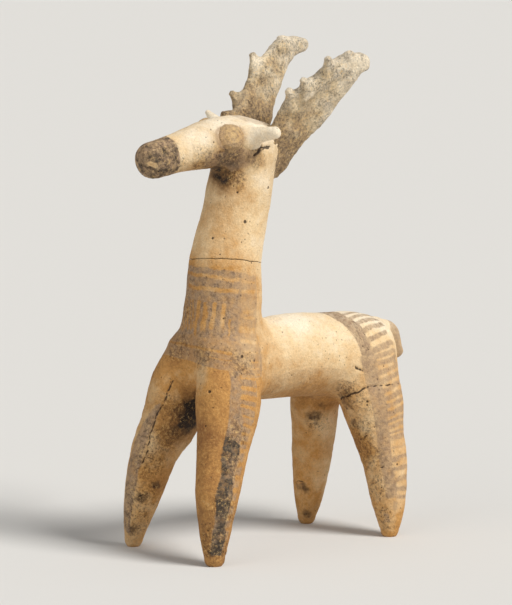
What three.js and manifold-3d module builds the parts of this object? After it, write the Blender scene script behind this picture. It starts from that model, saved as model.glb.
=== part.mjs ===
// Terracotta stag figurine: millimetres, +Z up, the animal faces -Y
import * as THREE from "three";
import { mergeVertices } from "three/addons/utils/BufferGeometryUtils.js";
import Module from "manifold-3d";

const wasm = await Module();
wasm.setup();

// Main sizes of the animal
const TRUNK_HEIGHT = 92;
const TRUNK_LENGTH = 81;
const NECK_RISE = 108;
const BREAK_RISE = 51;
const HEAD_LENGTH = 66;
const ANTLER_RISE = 44;
const HEAD_ROLL = THREE.MathUtils.degToRad(5);

// Fits
const JOINT_GAP = 0.3;
const HALF_GAP = JOINT_GAP / 2;
const PEG_PLAY = 0.3;

// Levels and ends that follow from the main sizes
const TRUNK_START = -12;
const TRUNK_END = TRUNK_START + TRUNK_LENGTH;
const BREAK_HEIGHT = TRUNK_HEIGHT + BREAK_RISE;
const HEAD_START = -3;
const HEAD_HEIGHT = TRUNK_HEIGHT + NECK_RISE;

// Stations end in half width across and half depth front to back
// Trunk: x, share of the trunk's length, rise over its axis
const TRUNK = [
  [0, 0, 0, 19, 19],
  [0, 0.321, 1, 20.5, 21],
  [0, 0.642, -0.5, 20.5, 21],
  [0, 0.864, -2, 21, 21.3],
  [0, 1, -4, 19, 20],
];
// Neck: x, y, share of the neck's rise
const NECK = [
  [0, -29, -0.028, 19.5, 15.5],
  [0, -27.4, 0.083, 20.5, 19],
  [0, -24.6, 0.278, 19.5, 19.2],
  [0, -23, 0.472, 17.6, 18.2],
  [0, -18, 0.657, 16.2, 17],
  [0, -13.6, 0.815, 16, 16.5],
  [0, -11, 0.944, 15.5, 15.5],
];
// Forelegs: x, y, share of the trunk's height
const FORELEG_LEFT = [
  [12, -31, 1.065, 12, 14],
  [17, -35, 0.891, 14, 17.5],
  [19.5, -38.5, 0.761, 13.6, 16.8],
  [23, -44, 0.596, 12, 13.6],
  [28, -51.9, 0.343, 10.2, 11],
  [30.6, -55.2, 0.141, 6.9, 7.2],
  [31.9, -56.4, 0.043, 5.1, 5.4],
];
const FORELEG_RIGHT = [
  [-13, -32, 1.065, 12, 15],
  [-17.5, -36.5, 0.87, 14, 18],
  [-21, -42, 0.674, 13, 15.4],
  [-24.5, -48.5, 0.522, 11.2, 12.6],
  [-28.2, -52.6, 0.304, 9.4, 9.8],
  [-31.5, -54.2, 0.152, 6.7, 7],
  [-33.6, -54.6, 0.043, 4.7, 4.9],
];
// Hindlegs: x, y from the trunk's end, share of the trunk's height
const HINDLEG_LEFT = [
  [12, -12, 0.935, 12, 16],
  [15.5, -9.5, 0.739, 13.8, 17.5],
  [18.5, -7.5, 0.565, 12.4, 13.8],
  [22.5, -6.5, 0.402, 11, 11.6],
  [25.5, -7, 0.217, 9.2, 9.4],
  [27.6, -7.8, 0.087, 6.2, 6.4],
  [28.3, -8.3, 0.038, 4.7, 4.7],
];
const HINDLEG_RIGHT = [
  [-12, -19, 0.935, 11, 14],
  [-15, -20.5, 0.717, 12, 13.4],
  [-18, -19.2, 0.5, 11, 11.2],
  [-21, -18.4, 0.304, 9.4, 9.4],
  [-23.6, -17.6, 0.141, 7.2, 7.2],
  [-25.5, -17.2, 0.039, 4.8, 4.8],
];
// Head, ears and eyes: x, share of the head's length from the nape, rise over its axis
const HEAD = [
  [0, 0, -0.5, 13.6, 12.6],
  [0, 0.227, 2.4, 14.6, 13.4],
  [0, 0.47, 2.6, 12.6, 12.2],
  [0, 0.742, 0, 10.2, 10.1],
  [0, 1, -3, 9.2, 9.2],
];
const EAR = [
  [9, 0.242, 6, 4, 5.4],
  [17, 0.189, 8.5, 3.6, 4.8],
  [25, 0.144, 11, 2.6, 3.6],
];
const EYE = [
  [9.6, 0.386, 6.6, 6.3, 6.3],
  [12.4, 0.4, 8.2, 6.2, 6.2],
];
// Tail: x, y from the trunk's end, rise over the trunk's axis
const TAIL = [
  [0, 7, 9, 5, 5.4],
  [0, 16, 6.6, 4.9, 5],
  [0, 20.5, -1, 4.1, 4.1],
];
// Antlers: x, y, share of the antlers' rise
const ANTLER_RIGHT = [
  [-9.5, 1, 0.114, 3.4, 11],
  [-11.5, 4.5, 0.318, 3.4, 11.2],
  [-14.5, 10, 0.523, 3.3, 10.4],
  [-18.5, 19, 0.727, 3.2, 9],
  [-22, 27.5, 0.898, 3.1, 7.2],
  [-24, 36, 0.982, 3, 4.8],
  [-24.3, 42, 0.991, 2.8, 3],
];
const TINES_RIGHT = [
  [[-10.5, -6, 0.273, 2.8, 5], [-10.8, -15.5, 0.309, 2.2, 2.4]],
  [[-13, -1, 0.409, 2.8, 6], [-14.8, -8, 0.532, 1.6, 1.6]],
  [[-17, 11, 0.727, 2.8, 6], [-22.2, 10, 0.918, 1.6, 1.6]],
  [[-22.5, 29, 0.955, 2.8, 5.5], [-25.3, 31.2, 1.068, 1.8, 2.2]],
  [[-24, 39, 1, 2.6, 4], [-24, 44.6, 0.995, 1.8, 2]],
];
const ANTLER_LEFT = [
  [8, 4, -0.136, 3.4, 6],
  [9.5, 7, 0.068, 3.6, 9.4],
  [11.5, 11.5, 0.273, 3.5, 12.2],
  [15.5, 18.5, 0.5, 3.4, 12.4],
  [19.5, 25, 0.705, 3.2, 10.5],
  [23, 32.5, 0.886, 3.1, 8.5],
  [24.3, 37.5, 0.95, 3, 6],
  [24.2, 41.5, 0.959, 2.8, 3.8],
];
const TINES_LEFT = [
  [[5.5, 2.8, -0.295, 3.6, 4], [7.5, 7, -0.068, 4, 4.8], [9.5, 10.5, 0.136, 4, 6]],
  [[14, 8, 0.5, 2.8, 6], [15.2, 3, 0.655, 1.8, 2]],
  [[18.5, 13, 0.659, 2.8, 6.5], [20, 7.8, 0.786, 1.6, 1.6]],
  [[22, 23, 0.841, 2.8, 6], [24.4, 19.2, 1.027, 1.6, 1.9]],
  [[24, 32, 0.955, 2.8, 5.5], [25.6, 31.7, 1.073, 1.8, 2.4]],
  [[24, 40, 0.966, 2.6, 4], [23.5, 43.2, 0.945, 1.8, 2.2]],
];
// Hollows inside the trunk and the neck
const TRUNK_CAVITY = [
  [0, -0.099, 0, 11, 11],
  [0, 0.84, -2, 11, 11],
];
const NECK_BORE = [
  [0, -24, 0.046, 8.5, 8.5],
  [0, -24, 0.278, 8.5, 8.5],
  [0, -22.6, 0.472, 8, 8],
  [0, -18, 0.657, 7.6, 7.6],
  [0, -13.2, 0.852, 7.6, 7.6],
  [0, -11.5, 0.963, 7.6, 7.6],
];

// How far neighbouring forms melt into each other
const MELT = { neck: 12, foreleg: 9, hindleg: 8, head: 5, tine: 4, antler: 3, ear: 2.5, eye: 0.8, tail: 3 };
const REACH = 7;

const at = (x, y, z) => new THREE.Vector3(x, y, z);

// Stations of each kind to x, y, z and girth
const placed = (stations, along, up) => stations.map(([x, y, z, ...girth]) => [x, along(y), up(z), ...girth]);
const asIs = (y) => y;
const trunkAlong = (share) => TRUNK_START + share * TRUNK_LENGTH;
const trunkUp = (rise) => TRUNK_HEIGHT + rise;
const behind = (y) => TRUNK_END + y;
const neckUp = (share) => TRUNK_HEIGHT + share * NECK_RISE;
const legUp = (share) => share * TRUNK_HEIGHT;
const headAlong = (share) => HEAD_START - share * HEAD_LENGTH;
const headUp = (rise) => HEAD_HEIGHT + rise;
const antlerUp = (share) => HEAD_HEIGHT + share * ANTLER_RISE;

const mirrored = (stations) => stations.map(([x, ...rest]) => [-x, ...rest]);

// The head and all it carries lean to the animal's left
function rolled(stations) {
  const cos = Math.cos(HEAD_ROLL);
  const sin = Math.sin(HEAD_ROLL);
  return stations.map(([x, y, z, ...rest]) => {
    const up = z - HEAD_HEIGHT;
    return [x * cos + up * sin, y, HEAD_HEIGHT - x * sin + up * cos, ...rest];
  });
}

// One bent member with an oval section
const SPANS = 14;
function member(stations, capStart, capEnd) {
  const line = new THREE.CatmullRomCurve3(stations.map(([x, y, z]) => at(x, y, z)), false, "catmullrom", 0.5);
  const girth = new THREE.CatmullRomCurve3(stations.map((s) => at(s[3], s[4], 0)), false, "catmullrom", 0.5);
  const joints = line.getPoints(SPANS);
  const halves = girth.getPoints(SPANS);
  const spans = [];
  for (let i = 0; i < SPANS; i++) {
    const along = joints[i + 1].clone().sub(joints[i]);
    const length = along.length();
    along.normalize();
    const side = at(1, 0, 0).addScaledVector(along, -along.x).normalize();
    spans.push({ along, side, deep: along.clone().cross(side), length });
  }
  return { line, girth, joints, halves, spans, capStart, capEnd };
}

// Signed distance to a member, close to true near its surface
const offset = at(0, 0, 0);
const foot = at(0, 0, 0);
function distance(limb, p) {
  let nearest = Infinity;
  let index = 0;
  let share = 0;
  for (let i = 0; i < SPANS; i++) {
    const span = limb.spans[i];
    offset.subVectors(p, limb.joints[i]);
    const t = THREE.MathUtils.clamp(offset.dot(span.along) / span.length, 0, 1);
    foot.copy(offset).addScaledVector(span.along, -t * span.length);
    if (foot.lengthSq() < nearest) {
      nearest = foot.lengthSq();
      index = i;
      share = t;
    }
  }
  const span = limb.spans[index];
  const half = limb.halves[index].clone().lerp(limb.halves[index + 1], share);
  offset.subVectors(p, limb.joints[index]).addScaledVector(span.along, -share * span.length);
  const across = offset.dot(span.side);
  const deep = offset.dot(span.deep);
  const past = offset.dot(span.along);
  const atStart = index === 0 && share === 0;
  const atEnd = index === SPANS - 1 && share === 1;
  const slim = Math.min(half.x, half.y);
  const cap = atStart ? limb.capStart : atEnd ? limb.capEnd : slim;
  const level = Math.hypot(across / half.x, deep / half.y, past / cap);
  const slope = Math.hypot(across / half.x ** 2, deep / half.y ** 2, past / cap ** 2);
  return level < 1e-6 ? -slim : (level * (level - 1)) / slope;
}

// Smooth minimum: two surfaces melt over the given length
function melt(a, b, length) {
  const overlap = Math.max(length - Math.abs(a - b), 0) / length;
  return Math.min(a, b) - (overlap * overlap * length) / 4;
}

const trunk = member(placed(TRUNK, trunkAlong, trunkUp), 12, 12);
const neck = member(placed(NECK, asIs, neckUp), 7, 8);
const forelegLeft = member(placed(FORELEG_LEFT, asIs, legUp), 8, 5.6);
const forelegRight = member(placed(FORELEG_RIGHT, asIs, legUp), 8, 5.6);
const hindlegLeft = member(placed(HINDLEG_LEFT, behind, legUp), 8, 5);
const hindlegRight = member(placed(HINDLEG_RIGHT, behind, legUp), 8, 5);
const tail = member(placed(TAIL, behind, trunkUp), 3, 3.5);
const trunkCavity = member(placed(TRUNK_CAVITY, trunkAlong, trunkUp), 6, 8);
const neckBore = member(placed(NECK_BORE, asIs, neckUp), 6, 4);

const onHead = (stations, ...caps) => member(rolled(placed(stations, headAlong, headUp)), ...caps);
const overHead = (stations, ...caps) => member(rolled(placed(stations, asIs, antlerUp)), ...caps);
const head = onHead(HEAD, 9, 8);
const earLeft = onHead(EAR, 3, 2.5);
const earRight = onHead(mirrored(EAR), 3, 2.5);
const eyeLeft = onHead(EYE, 1, 1.8);
const eyeRight = onHead(mirrored(EYE), 1, 1.8);
const antlerLeft = [overHead(ANTLER_LEFT, 5, 3.5), ...TINES_LEFT.map((tine) => overHead(tine, 2, 1.6))];
const antlerRight = [overHead(ANTLER_RIGHT, 5, 3), ...TINES_RIGHT.map((tine) => overHead(tine, 2, 1.6))];

// Neck, forelegs and head melted together, without the trunk
function columnField(p) {
  let d = melt(distance(neck, p), distance(forelegLeft, p), MELT.foreleg);
  d = melt(d, distance(forelegRight, p), MELT.foreleg);
  return melt(d, distance(head, p), MELT.head);
}

function bodyField(p) {
  let d = melt(columnField(p), distance(trunk, p), MELT.neck);
  d = melt(d, distance(hindlegLeft, p), MELT.hindleg);
  return melt(d, distance(hindlegRight, p), MELT.hindleg);
}

const fieldWith = (limb, length) => (p) => melt(bodyField(p), distance(limb, p), length);

const fieldOf = (limb) => (p) => distance(limb, p);

function antlerField(parts) {
  return (p) => {
    const own = parts.map((part) => distance(part, p)).reduce((d, next) => melt(d, next, MELT.tine));
    return melt(bodyField(p), own, MELT.antler);
  };
}

// Direction frame of a spine, eased between its spans
function frameAt(limb, t) {
  const where = t * SPANS - 0.5;
  const low = THREE.MathUtils.clamp(Math.floor(where), 0, SPANS - 1);
  const high = Math.min(SPANS - 1, low + 1);
  const share = THREE.MathUtils.clamp(where - low, 0, 1);
  const along = limb.spans[low].along.clone().lerp(limb.spans[high].along, share).normalize();
  const side = limb.spans[low].side.clone().lerp(limb.spans[high].side, share);
  side.addScaledVector(along, -side.dot(along)).normalize();
  return { along, side, deep: along.clone().cross(side) };
}

// Walk out from the spine until the field reaches its surface
function march(field, from, heading, limit, grow) {
  const p = at(0, 0, 0);
  let reach = 0;
  for (let step = 0; step < 40; step++) {
    p.copy(from).addScaledVector(heading, reach);
    const left = field(p) - grow;
    if (Math.abs(left) < 0.01) break;
    reach = Math.max(0.2, reach - left * 0.9);
    if (reach > limit) return limit;
  }
  return reach;
}

// Closed skin of one member, rings along the spine and fans at its ends
function skinGeometry(limb, field, { around = 22, along = 14, fans = 4, grow = 0, reach = REACH } = {}) {
  const rows = [];
  for (let i = 0; i < fans; i++) rows.push([0, (Math.PI / 2) * (i / fans), -1]);
  for (let i = 0; i <= along; i++) rows.push([i / along, Math.PI / 2, 0]);
  for (let i = fans - 1; i >= 0; i--) rows.push([1, (Math.PI / 2) * (i / fans), 1]);
  const rings = rows.map(([t, lean, end]) => {
    const frame = frameAt(limb, t);
    const centre = limb.line.getPoint(t);
    const half = limb.girth.getPoint(t);
    const limit = Math.max(half.x, half.y) + reach;
    const count = lean === 0 ? 1 : around;
    return Array.from({ length: count }, (_, k) => {
      const turn = (2 * Math.PI * k) / around;
      const heading = at(0, 0, 0)
        .addScaledVector(frame.side, Math.cos(turn) * Math.sin(lean))
        .addScaledVector(frame.deep, Math.sin(turn) * Math.sin(lean))
        .addScaledVector(frame.along, end * Math.cos(lean));
      return centre.clone().addScaledVector(heading, march(field, centre, heading, limit, grow));
    });
  });
  return ringsToGeometry(rings, around);
}

function ringsToGeometry(rings, around) {
  const points = rings.flat();
  const starts = [];
  let count = 0;
  for (const ring of rings) {
    starts.push(count);
    count += ring.length;
  }
  const index = [];
  for (let row = 0; row + 1 < rings.length; row++) {
    const here = (k) => starts[row] + (rings[row].length === 1 ? 0 : k % around);
    const next = (k) => starts[row + 1] + (rings[row + 1].length === 1 ? 0 : k % around);
    for (let k = 0; k < around; k++) {
      if (rings[row].length > 1) index.push(here(k), here(k + 1), next(k));
      if (rings[row + 1].length > 1) index.push(here(k + 1), next(k + 1), next(k));
    }
  }
  const geometry = new THREE.BufferGeometry().setFromPoints(points);
  geometry.setIndex(index);
  return geometry;
}

// Geometry to solid and back, for joining and cutting only
function solid(geometry) {
  const bare = geometry.clone();
  bare.deleteAttribute("normal");
  bare.deleteAttribute("uv");
  const merged = mergeVertices(bare, 1e-4);
  const vertProperties = new Float32Array(merged.attributes.position.array);
  const triVerts = new Uint32Array(merged.index.array);
  return new wasm.Manifold(new wasm.Mesh({ numProp: 3, vertProperties, triVerts }));
}

function geometryOf(shape) {
  const mesh = shape.getMesh();
  const geometry = new THREE.BufferGeometry();
  geometry.setAttribute("position", new THREE.BufferAttribute(new Float32Array(mesh.vertProperties), 3));
  geometry.setIndex(new THREE.BufferAttribute(new Uint32Array(mesh.triVerts), 1));
  return geometry;
}

const skin = (limb, field, options) => solid(skinGeometry(limb, field, options));
const join = (...shapes) => shapes.reduce((sum, shape) => sum.add(shape));
const cut = (shape, ...tools) => tools.reduce((rest, tool) => rest.subtract(tool), shape);

// Everything on the far side of a plane, as a big block
const BLOCK = 400;
function beyond(point, normal, shift = 0) {
  const block = new THREE.BoxGeometry(BLOCK, BLOCK, BLOCK);
  block.translate(0, 0, BLOCK / 2 + shift);
  block.applyQuaternion(new THREE.Quaternion().setFromUnitVectors(at(0, 0, 1), normal.clone().normalize()));
  block.translate(point.x, point.y, point.z);
  return solid(block);
}

// Round peg or hole between two points
function peg(from, to, radius, sides = 18) {
  const axis = to.clone().sub(from);
  const rod = new THREE.CylinderGeometry(radius, radius, axis.length(), sides);
  rod.translate(0, axis.length() / 2, 0);
  rod.applyQuaternion(new THREE.Quaternion().setFromUnitVectors(at(0, 1, 0), axis.normalize()));
  rod.translate(from.x, from.y, from.z);
  return solid(rod);
}

// Seats where the limbs were luted on
const seatAt = (point, normal) => ({ point, normal: normal.normalize() });
const SEATS = {
  forelegLeft: seatAt(at(17.5, -35.5, trunkUp(-13)), at(-0.12, 0.3, 0.95)),
  forelegRight: seatAt(at(-18, -37, trunkUp(-14)), at(0.12, 0.3, 0.95)),
  hindlegLeft: seatAt(at(17, behind(-9), trunkUp(-17)), at(-0.05, -0.17, 0.98)),
  hindlegRight: seatAt(at(-15.5, behind(-19.5), trunkUp(-20)), at(0.05, -0.1, 0.98)),
  head: seatAt(at(0, -13, headUp(-12)), at(0, 0.12, 0.99)),
  neckBreak: seatAt(at(0, -23, BREAK_HEIGHT), at(0, 0, 1)),
};
const TENON = { radius: 5, length: 6 };
const COLLAR = { radius: 14, front: -18, rear: 0 };
const HEAD_PLUG = { radius: 6.9, from: at(0, -12, headUp(-7)), to: at(0, -13.8, headUp(-19)) };
const VENT = { radius: 2.5, from: at(0, behind(-19), trunkUp(-8)), to: at(0, behind(41), trunkUp(-12)) };
const MOUTH = { radius: 8, rise: 1, front: -24 };
const TAIL_PEG = { from: 4, to: 15, rise: 6.5 };
const PEG = 1.8;
const SUNK = 0.25;
const LEG_GRID = { around: 20, along: 12, fans: 3 };

const above = (seat, shift = HALF_GAP) => beyond(seat.point, seat.normal, shift);
const slide = (seat, along) => seat.point.clone().addScaledVector(seat.normal, along);

function tenon(seat, extra) {
  return peg(slide(seat, -5), slide(seat, TENON.length + extra), TENON.radius + extra);
}

// A leg is what lies below its seat, plus a tenon standing up
function leg(limb, seat) {
  const shank = cut(skin(limb, fieldOf(limb), LEG_GRID), above(seat, -HALF_GAP), ground);
  return join(shank, tenon(seat, 0));
}

function legRoom(limb, seat) {
  const room = skin(limb, fieldOf(limb), { ...LEG_GRID, grow: JOINT_GAP });
  return join(cut(room, above(seat)), tenon(seat, PEG_PLAY));
}

function haunch(limb, seat, field) {
  return skin(limb, field, { around: 20, along: 10, fans: 3, reach: 5, grow: -SUNK }).intersect(above(seat));
}

const ground = beyond(at(0, 0, 0), at(0, 0, -1));
const cavity = skin(trunkCavity, fieldOf(trunkCavity), { around: 20, along: 4, reach: 1 });
const bore = skin(neckBore, fieldOf(neckBore), { around: 18, along: 14, reach: 1 });
const collar = (extra) =>
  peg(at(0, COLLAR.rear, TRUNK_HEIGHT), at(0, COLLAR.front - extra, TRUNK_HEIGHT), COLLAR.radius + extra, 26);

const group = new THREE.Group();
group.name = "deer_figurine";

const CLAY = 0xd9b482;
const HORN = 0xa8997e;
const PAINT = 0x7a5f4c;
// Cuts can leave crumbs, so only the main body is kept
function mainBody(shape) {
  const bodies = shape.decompose();
  return bodies.reduce((best, body) => (body.volume() > best.volume() ? body : best));
}

function place(name, shape, color = CLAY) {
  const geometry = geometryOf(mainBody(shape));
  geometry.computeVertexNormals();
  const mesh = new THREE.Mesh(geometry, new THREE.MeshStandardMaterial({ color, roughness: 0.85, metalness: 0 }));
  mesh.name = name;
  group.add(mesh);
}

// Legs
place("foreleg_left", leg(forelegLeft, SEATS.forelegLeft));
place("foreleg_right", leg(forelegRight, SEATS.forelegRight));
place("hindleg_left", leg(hindlegLeft, SEATS.hindlegLeft));
place("hindleg_right", leg(hindlegRight, SEATS.hindlegRight));

// Neck and chest
const neckOptions = { around: 24, along: 15, fans: 3 };
const neckGrown = { ...neckOptions, grow: JOINT_GAP, reach: REACH + JOINT_GAP };
const neckSkin = skin(neck, columnField, neckOptions);
const neckRoom = skin(neck, columnField, neckGrown);
const shoulders = join(
  haunch(forelegLeft, SEATS.forelegLeft, columnField),
  haunch(forelegRight, SEATS.forelegRight, columnField),
);
const foreRoom = join(legRoom(forelegLeft, SEATS.forelegLeft), legRoom(forelegRight, SEATS.forelegRight));
const chest = join(cut(neckSkin, above(SEATS.neckBreak, -HALF_GAP)), shoulders);
const mouth = peg(at(0, COLLAR.front + 2, TRUNK_HEIGHT), at(0, MOUTH.front, trunkUp(MOUTH.rise)), MOUTH.radius);
place("neck_lower", cut(chest, foreRoom, collar(PEG_PLAY), bore, mouth));
place("neck_upper", cut(neckSkin.intersect(above(SEATS.neckBreak)), above(SEATS.head, -HALF_GAP), bore));

// Trunk
const columnRoom = join(
  neckRoom,
  skin(forelegLeft, columnField, { around: 20, along: 10, fans: 3, grow: JOINT_GAP, reach: 5 + JOINT_GAP }),
  skin(forelegRight, columnField, { around: 20, along: 10, fans: 3, grow: JOINT_GAP, reach: 5 + JOINT_GAP }),
  foreRoom,
);
const hindRoom = join(legRoom(hindlegLeft, SEATS.hindlegLeft), legRoom(hindlegRight, SEATS.hindlegRight));
const barrelOptions = { around: 24, along: 13, fans: 3, reach: 8 };
const barrel = join(
  skin(trunk, bodyField, barrelOptions),
  haunch(hindlegLeft, SEATS.hindlegLeft, bodyField),
  haunch(hindlegRight, SEATS.hindlegRight, bodyField),
);
const tailRod = (extra) =>
  peg(
    at(0, behind(TAIL_PEG.from - 3 * extra), trunkUp(TAIL_PEG.rise)),
    at(0, behind(TAIL_PEG.to), trunkUp(TAIL_PEG.rise)),
    PEG + extra,
    10,
  );
const trunkShell = join(cut(barrel, columnRoom), collar(0));
place("trunk", cut(trunkShell, hindRoom, cavity, peg(VENT.from, VENT.to, VENT.radius, 14), tailRod(PEG_PLAY)));

// Tail
const rump = skin(trunk, bodyField, { ...barrelOptions, grow: JOINT_GAP, reach: 8 + JOINT_GAP });
const stub = skin(tail, fieldWith(tail, MELT.tail), { around: 14, along: 8, fans: 3, reach: 3 });
place("tail", join(cut(stub, rump), tailRod(0)));

// Head with its plug in the neck bore
const headOptions = { around: 22, along: 14, fans: 3, reach: 10 };
const skull = skin(head, bodyField, headOptions);
const skullRoom = join(skin(head, bodyField, { ...headOptions, grow: JOINT_GAP, reach: 10 + JOINT_GAP }), neckRoom);
const neckTop = cut(neckRoom, above(SEATS.head));
const plug = peg(HEAD_PLUG.from, HEAD_PLUG.to, HEAD_PLUG.radius);
const smallOptions = { around: 14, along: 6, fans: 3, reach: 3 };
const pelletOptions = { around: 16, along: 1, fans: 3, reach: 1 };
const pelletRoomOptions = { ...pelletOptions, grow: JOINT_GAP, reach: 1 + JOINT_GAP };
const pegBetween = (from, to, extra) => {
  const [start, end] = rolled([from, to]).map(([x, y, z]) => at(x, y, z));
  return peg(start, end, PEG + extra, 10);
};
const EAR_PEG = placed([[5, 0.25, 4.5], [13, 0.218, 7.2]], headAlong, headUp);
const ANTLER_PEG = {
  left: placed([[8, 2, -0.023], [10.5, 6, 0.318]], asIs, antlerUp),
  right: placed([[-8, -3, -0.023], [-10.5, 0, 0.318]], asIs, antlerUp),
};
const mirrorPoint = ([x, y, z]) => [-x, y, z];
const pegHoles = (extra) => [
  pegBetween(...EAR_PEG, extra),
  pegBetween(...EAR_PEG.map(mirrorPoint), extra),
  pegBetween(...ANTLER_PEG.left, extra),
  pegBetween(...ANTLER_PEG.right, extra),
];
const eyeRooms = [eyeLeft, eyeRight].map((eye) => skin(eye, fieldOf(eye), pelletRoomOptions));
place("head", cut(join(cut(skull, neckTop), plug), ...pegHoles(PEG_PLAY), ...eyeRooms));

// Eyes, ears and antlers
const pegs = pegHoles(0);
place("eye_left", skin(eyeLeft, fieldOf(eyeLeft), pelletOptions), PAINT);
place("eye_right", skin(eyeRight, fieldOf(eyeRight), pelletOptions), PAINT);
function antlerSkin(parts, grow) {
  const field = antlerField(parts);
  const [beam, ...tines] = parts;
  const beamSkin = skin(beam, field, { around: 16, along: 11, fans: 2, reach: 3, grow });
  const tineSkins = tines.map((tine) => skin(tine, field, { around: 8, along: 3, fans: 2, reach: 1.5, grow }));
  return join(beamSkin, ...tineSkins);
}

place("antler_left", join(cut(antlerSkin(antlerLeft, 0), skullRoom), pegs[2]), HORN);
place("antler_right", join(cut(antlerSkin(antlerRight, 0), skullRoom), pegs[3]), HORN);

function ear(limb, antler, eyeRoom) {
  const leaf = skin(limb, fieldWith(limb, MELT.ear), smallOptions);
  return cut(leaf, skullRoom, antlerSkin(antler, JOINT_GAP), eyeRoom);
}
place("ear_left", join(ear(earLeft, antlerLeft, eyeRooms[0]), pegs[0]));
place("ear_right", join(ear(earRight, antlerRight, eyeRooms[1]), pegs[1]));

// The origin goes under the middle of the whole box, on the floor
const middle = new THREE.Box3().setFromObject(group).getCenter(at(0, 0, 0));
for (const mesh of group.children) mesh.geometry.translate(-middle.x, -middle.y, 0);

export default group;
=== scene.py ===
"""Terracotta stag figurine: the look of each clay piece, its worn paint, and a plain studio."""

import math

import bpy
import numpy as np
from bpy.props import FloatProperty, FloatVectorProperty, PointerProperty
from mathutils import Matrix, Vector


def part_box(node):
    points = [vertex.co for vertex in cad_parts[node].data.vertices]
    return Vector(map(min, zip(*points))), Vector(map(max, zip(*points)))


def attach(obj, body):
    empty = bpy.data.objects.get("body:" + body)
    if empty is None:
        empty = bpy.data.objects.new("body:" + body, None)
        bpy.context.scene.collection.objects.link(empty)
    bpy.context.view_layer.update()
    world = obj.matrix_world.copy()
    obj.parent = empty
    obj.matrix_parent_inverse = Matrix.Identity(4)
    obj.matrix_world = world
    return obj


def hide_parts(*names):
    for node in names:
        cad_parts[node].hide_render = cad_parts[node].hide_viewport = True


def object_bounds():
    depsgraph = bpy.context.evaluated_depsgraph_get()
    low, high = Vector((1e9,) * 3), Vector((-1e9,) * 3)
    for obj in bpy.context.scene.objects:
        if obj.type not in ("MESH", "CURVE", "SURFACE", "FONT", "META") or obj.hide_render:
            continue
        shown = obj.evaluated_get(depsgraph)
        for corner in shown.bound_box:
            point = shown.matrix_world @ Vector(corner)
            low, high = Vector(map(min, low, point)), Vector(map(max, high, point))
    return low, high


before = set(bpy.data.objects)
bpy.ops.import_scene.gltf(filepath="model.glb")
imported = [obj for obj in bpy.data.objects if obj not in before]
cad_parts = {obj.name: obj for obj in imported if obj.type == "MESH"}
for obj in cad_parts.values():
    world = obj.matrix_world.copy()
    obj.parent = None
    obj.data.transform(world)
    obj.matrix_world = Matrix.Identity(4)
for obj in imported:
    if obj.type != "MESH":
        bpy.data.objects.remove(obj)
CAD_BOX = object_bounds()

bl_info = {
    "name": "Terracotta stag figurine",
    "version": (1, 0, 0),
    "blender": (4, 5, 0),
    "location": "3D View > Sidebar > Figurine",
    "description": "Makes the clay pieces of a painted stag figurine and a plain studio round them",
    "category": "Object",
}

# Main sizes of the animal in millimetres, as in the part's source
TRUNK_HEIGHT = 92
TRUNK_LENGTH = 81
NECK_RISE = 108
HEAD_LENGTH = 66
ANTLER_RISE = 44
HEAD_ROLL = math.radians(5)
TRUNK_START = -12
TRUNK_END = TRUNK_START + TRUNK_LENGTH
HEAD_START = -3
HEAD_HEIGHT = TRUNK_HEIGHT + NECK_RISE
SPANS = 14
SLAB_POWER = 3.2

# Stations end in half width across and half depth front to back
# Trunk: x, share of the trunk's length, rise over its axis
TRUNK = [
    (0, 0, 0, 19, 19),
    (0, 0.321, 1, 20.5, 21),
    (0, 0.642, -0.5, 20.5, 21),
    (0, 0.864, -2, 21, 21.3),
    (0, 1, -4, 19, 20),
]
# Neck: x, y, share of the neck's rise
NECK = [
    (0, -29, -0.028, 19.5, 15.5),
    (0, -27.4, 0.083, 20.5, 19),
    (0, -24.6, 0.278, 19.5, 19.2),
    (0, -23, 0.472, 17.6, 18.2),
    (0, -18, 0.657, 16.2, 17),
    (0, -13.6, 0.815, 16, 16.5),
    (0, -11, 0.944, 15.5, 15.5),
]
# Forelegs: x, y, share of the trunk's height
FORELEG_LEFT = [
    (12, -31, 1.065, 12, 14),
    (17, -35, 0.891, 14, 17.5),
    (19.5, -38.5, 0.761, 13.6, 16.8),
    (23, -44, 0.596, 12, 13.6),
    (28, -51.9, 0.343, 10.2, 11),
    (30.6, -55.2, 0.141, 6.9, 7.2),
    (31.9, -56.4, 0.043, 5.1, 5.4),
]
FORELEG_RIGHT = [
    (-13, -32, 1.065, 12, 15),
    (-17.5, -36.5, 0.87, 14, 18),
    (-21, -42, 0.674, 13, 15.4),
    (-24.5, -48.5, 0.522, 11.2, 12.6),
    (-28.2, -52.6, 0.304, 9.4, 9.8),
    (-31.5, -54.2, 0.152, 6.7, 7),
    (-33.6, -54.6, 0.043, 4.7, 4.9),
]
# Hindlegs: x, y from the trunk's end, share of the trunk's height
HINDLEG_LEFT = [
    (12, -12, 0.935, 12, 16),
    (15.5, -9.5, 0.739, 13.8, 17.5),
    (18.5, -7.5, 0.565, 12.4, 13.8),
    (22.5, -6.5, 0.402, 11, 11.6),
    (25.5, -7, 0.217, 9.2, 9.4),
    (27.6, -7.8, 0.087, 6.2, 6.4),
    (28.3, -8.3, 0.038, 4.7, 4.7),
]
HINDLEG_RIGHT = [
    (-12, -19, 0.935, 11, 14),
    (-15, -20.5, 0.717, 12, 13.4),
    (-18, -19.2, 0.5, 11, 11.2),
    (-21, -18.4, 0.304, 9.4, 9.4),
    (-23.6, -17.6, 0.141, 7.2, 7.2),
    (-25.5, -17.2, 0.039, 4.8, 4.8),
]
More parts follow.
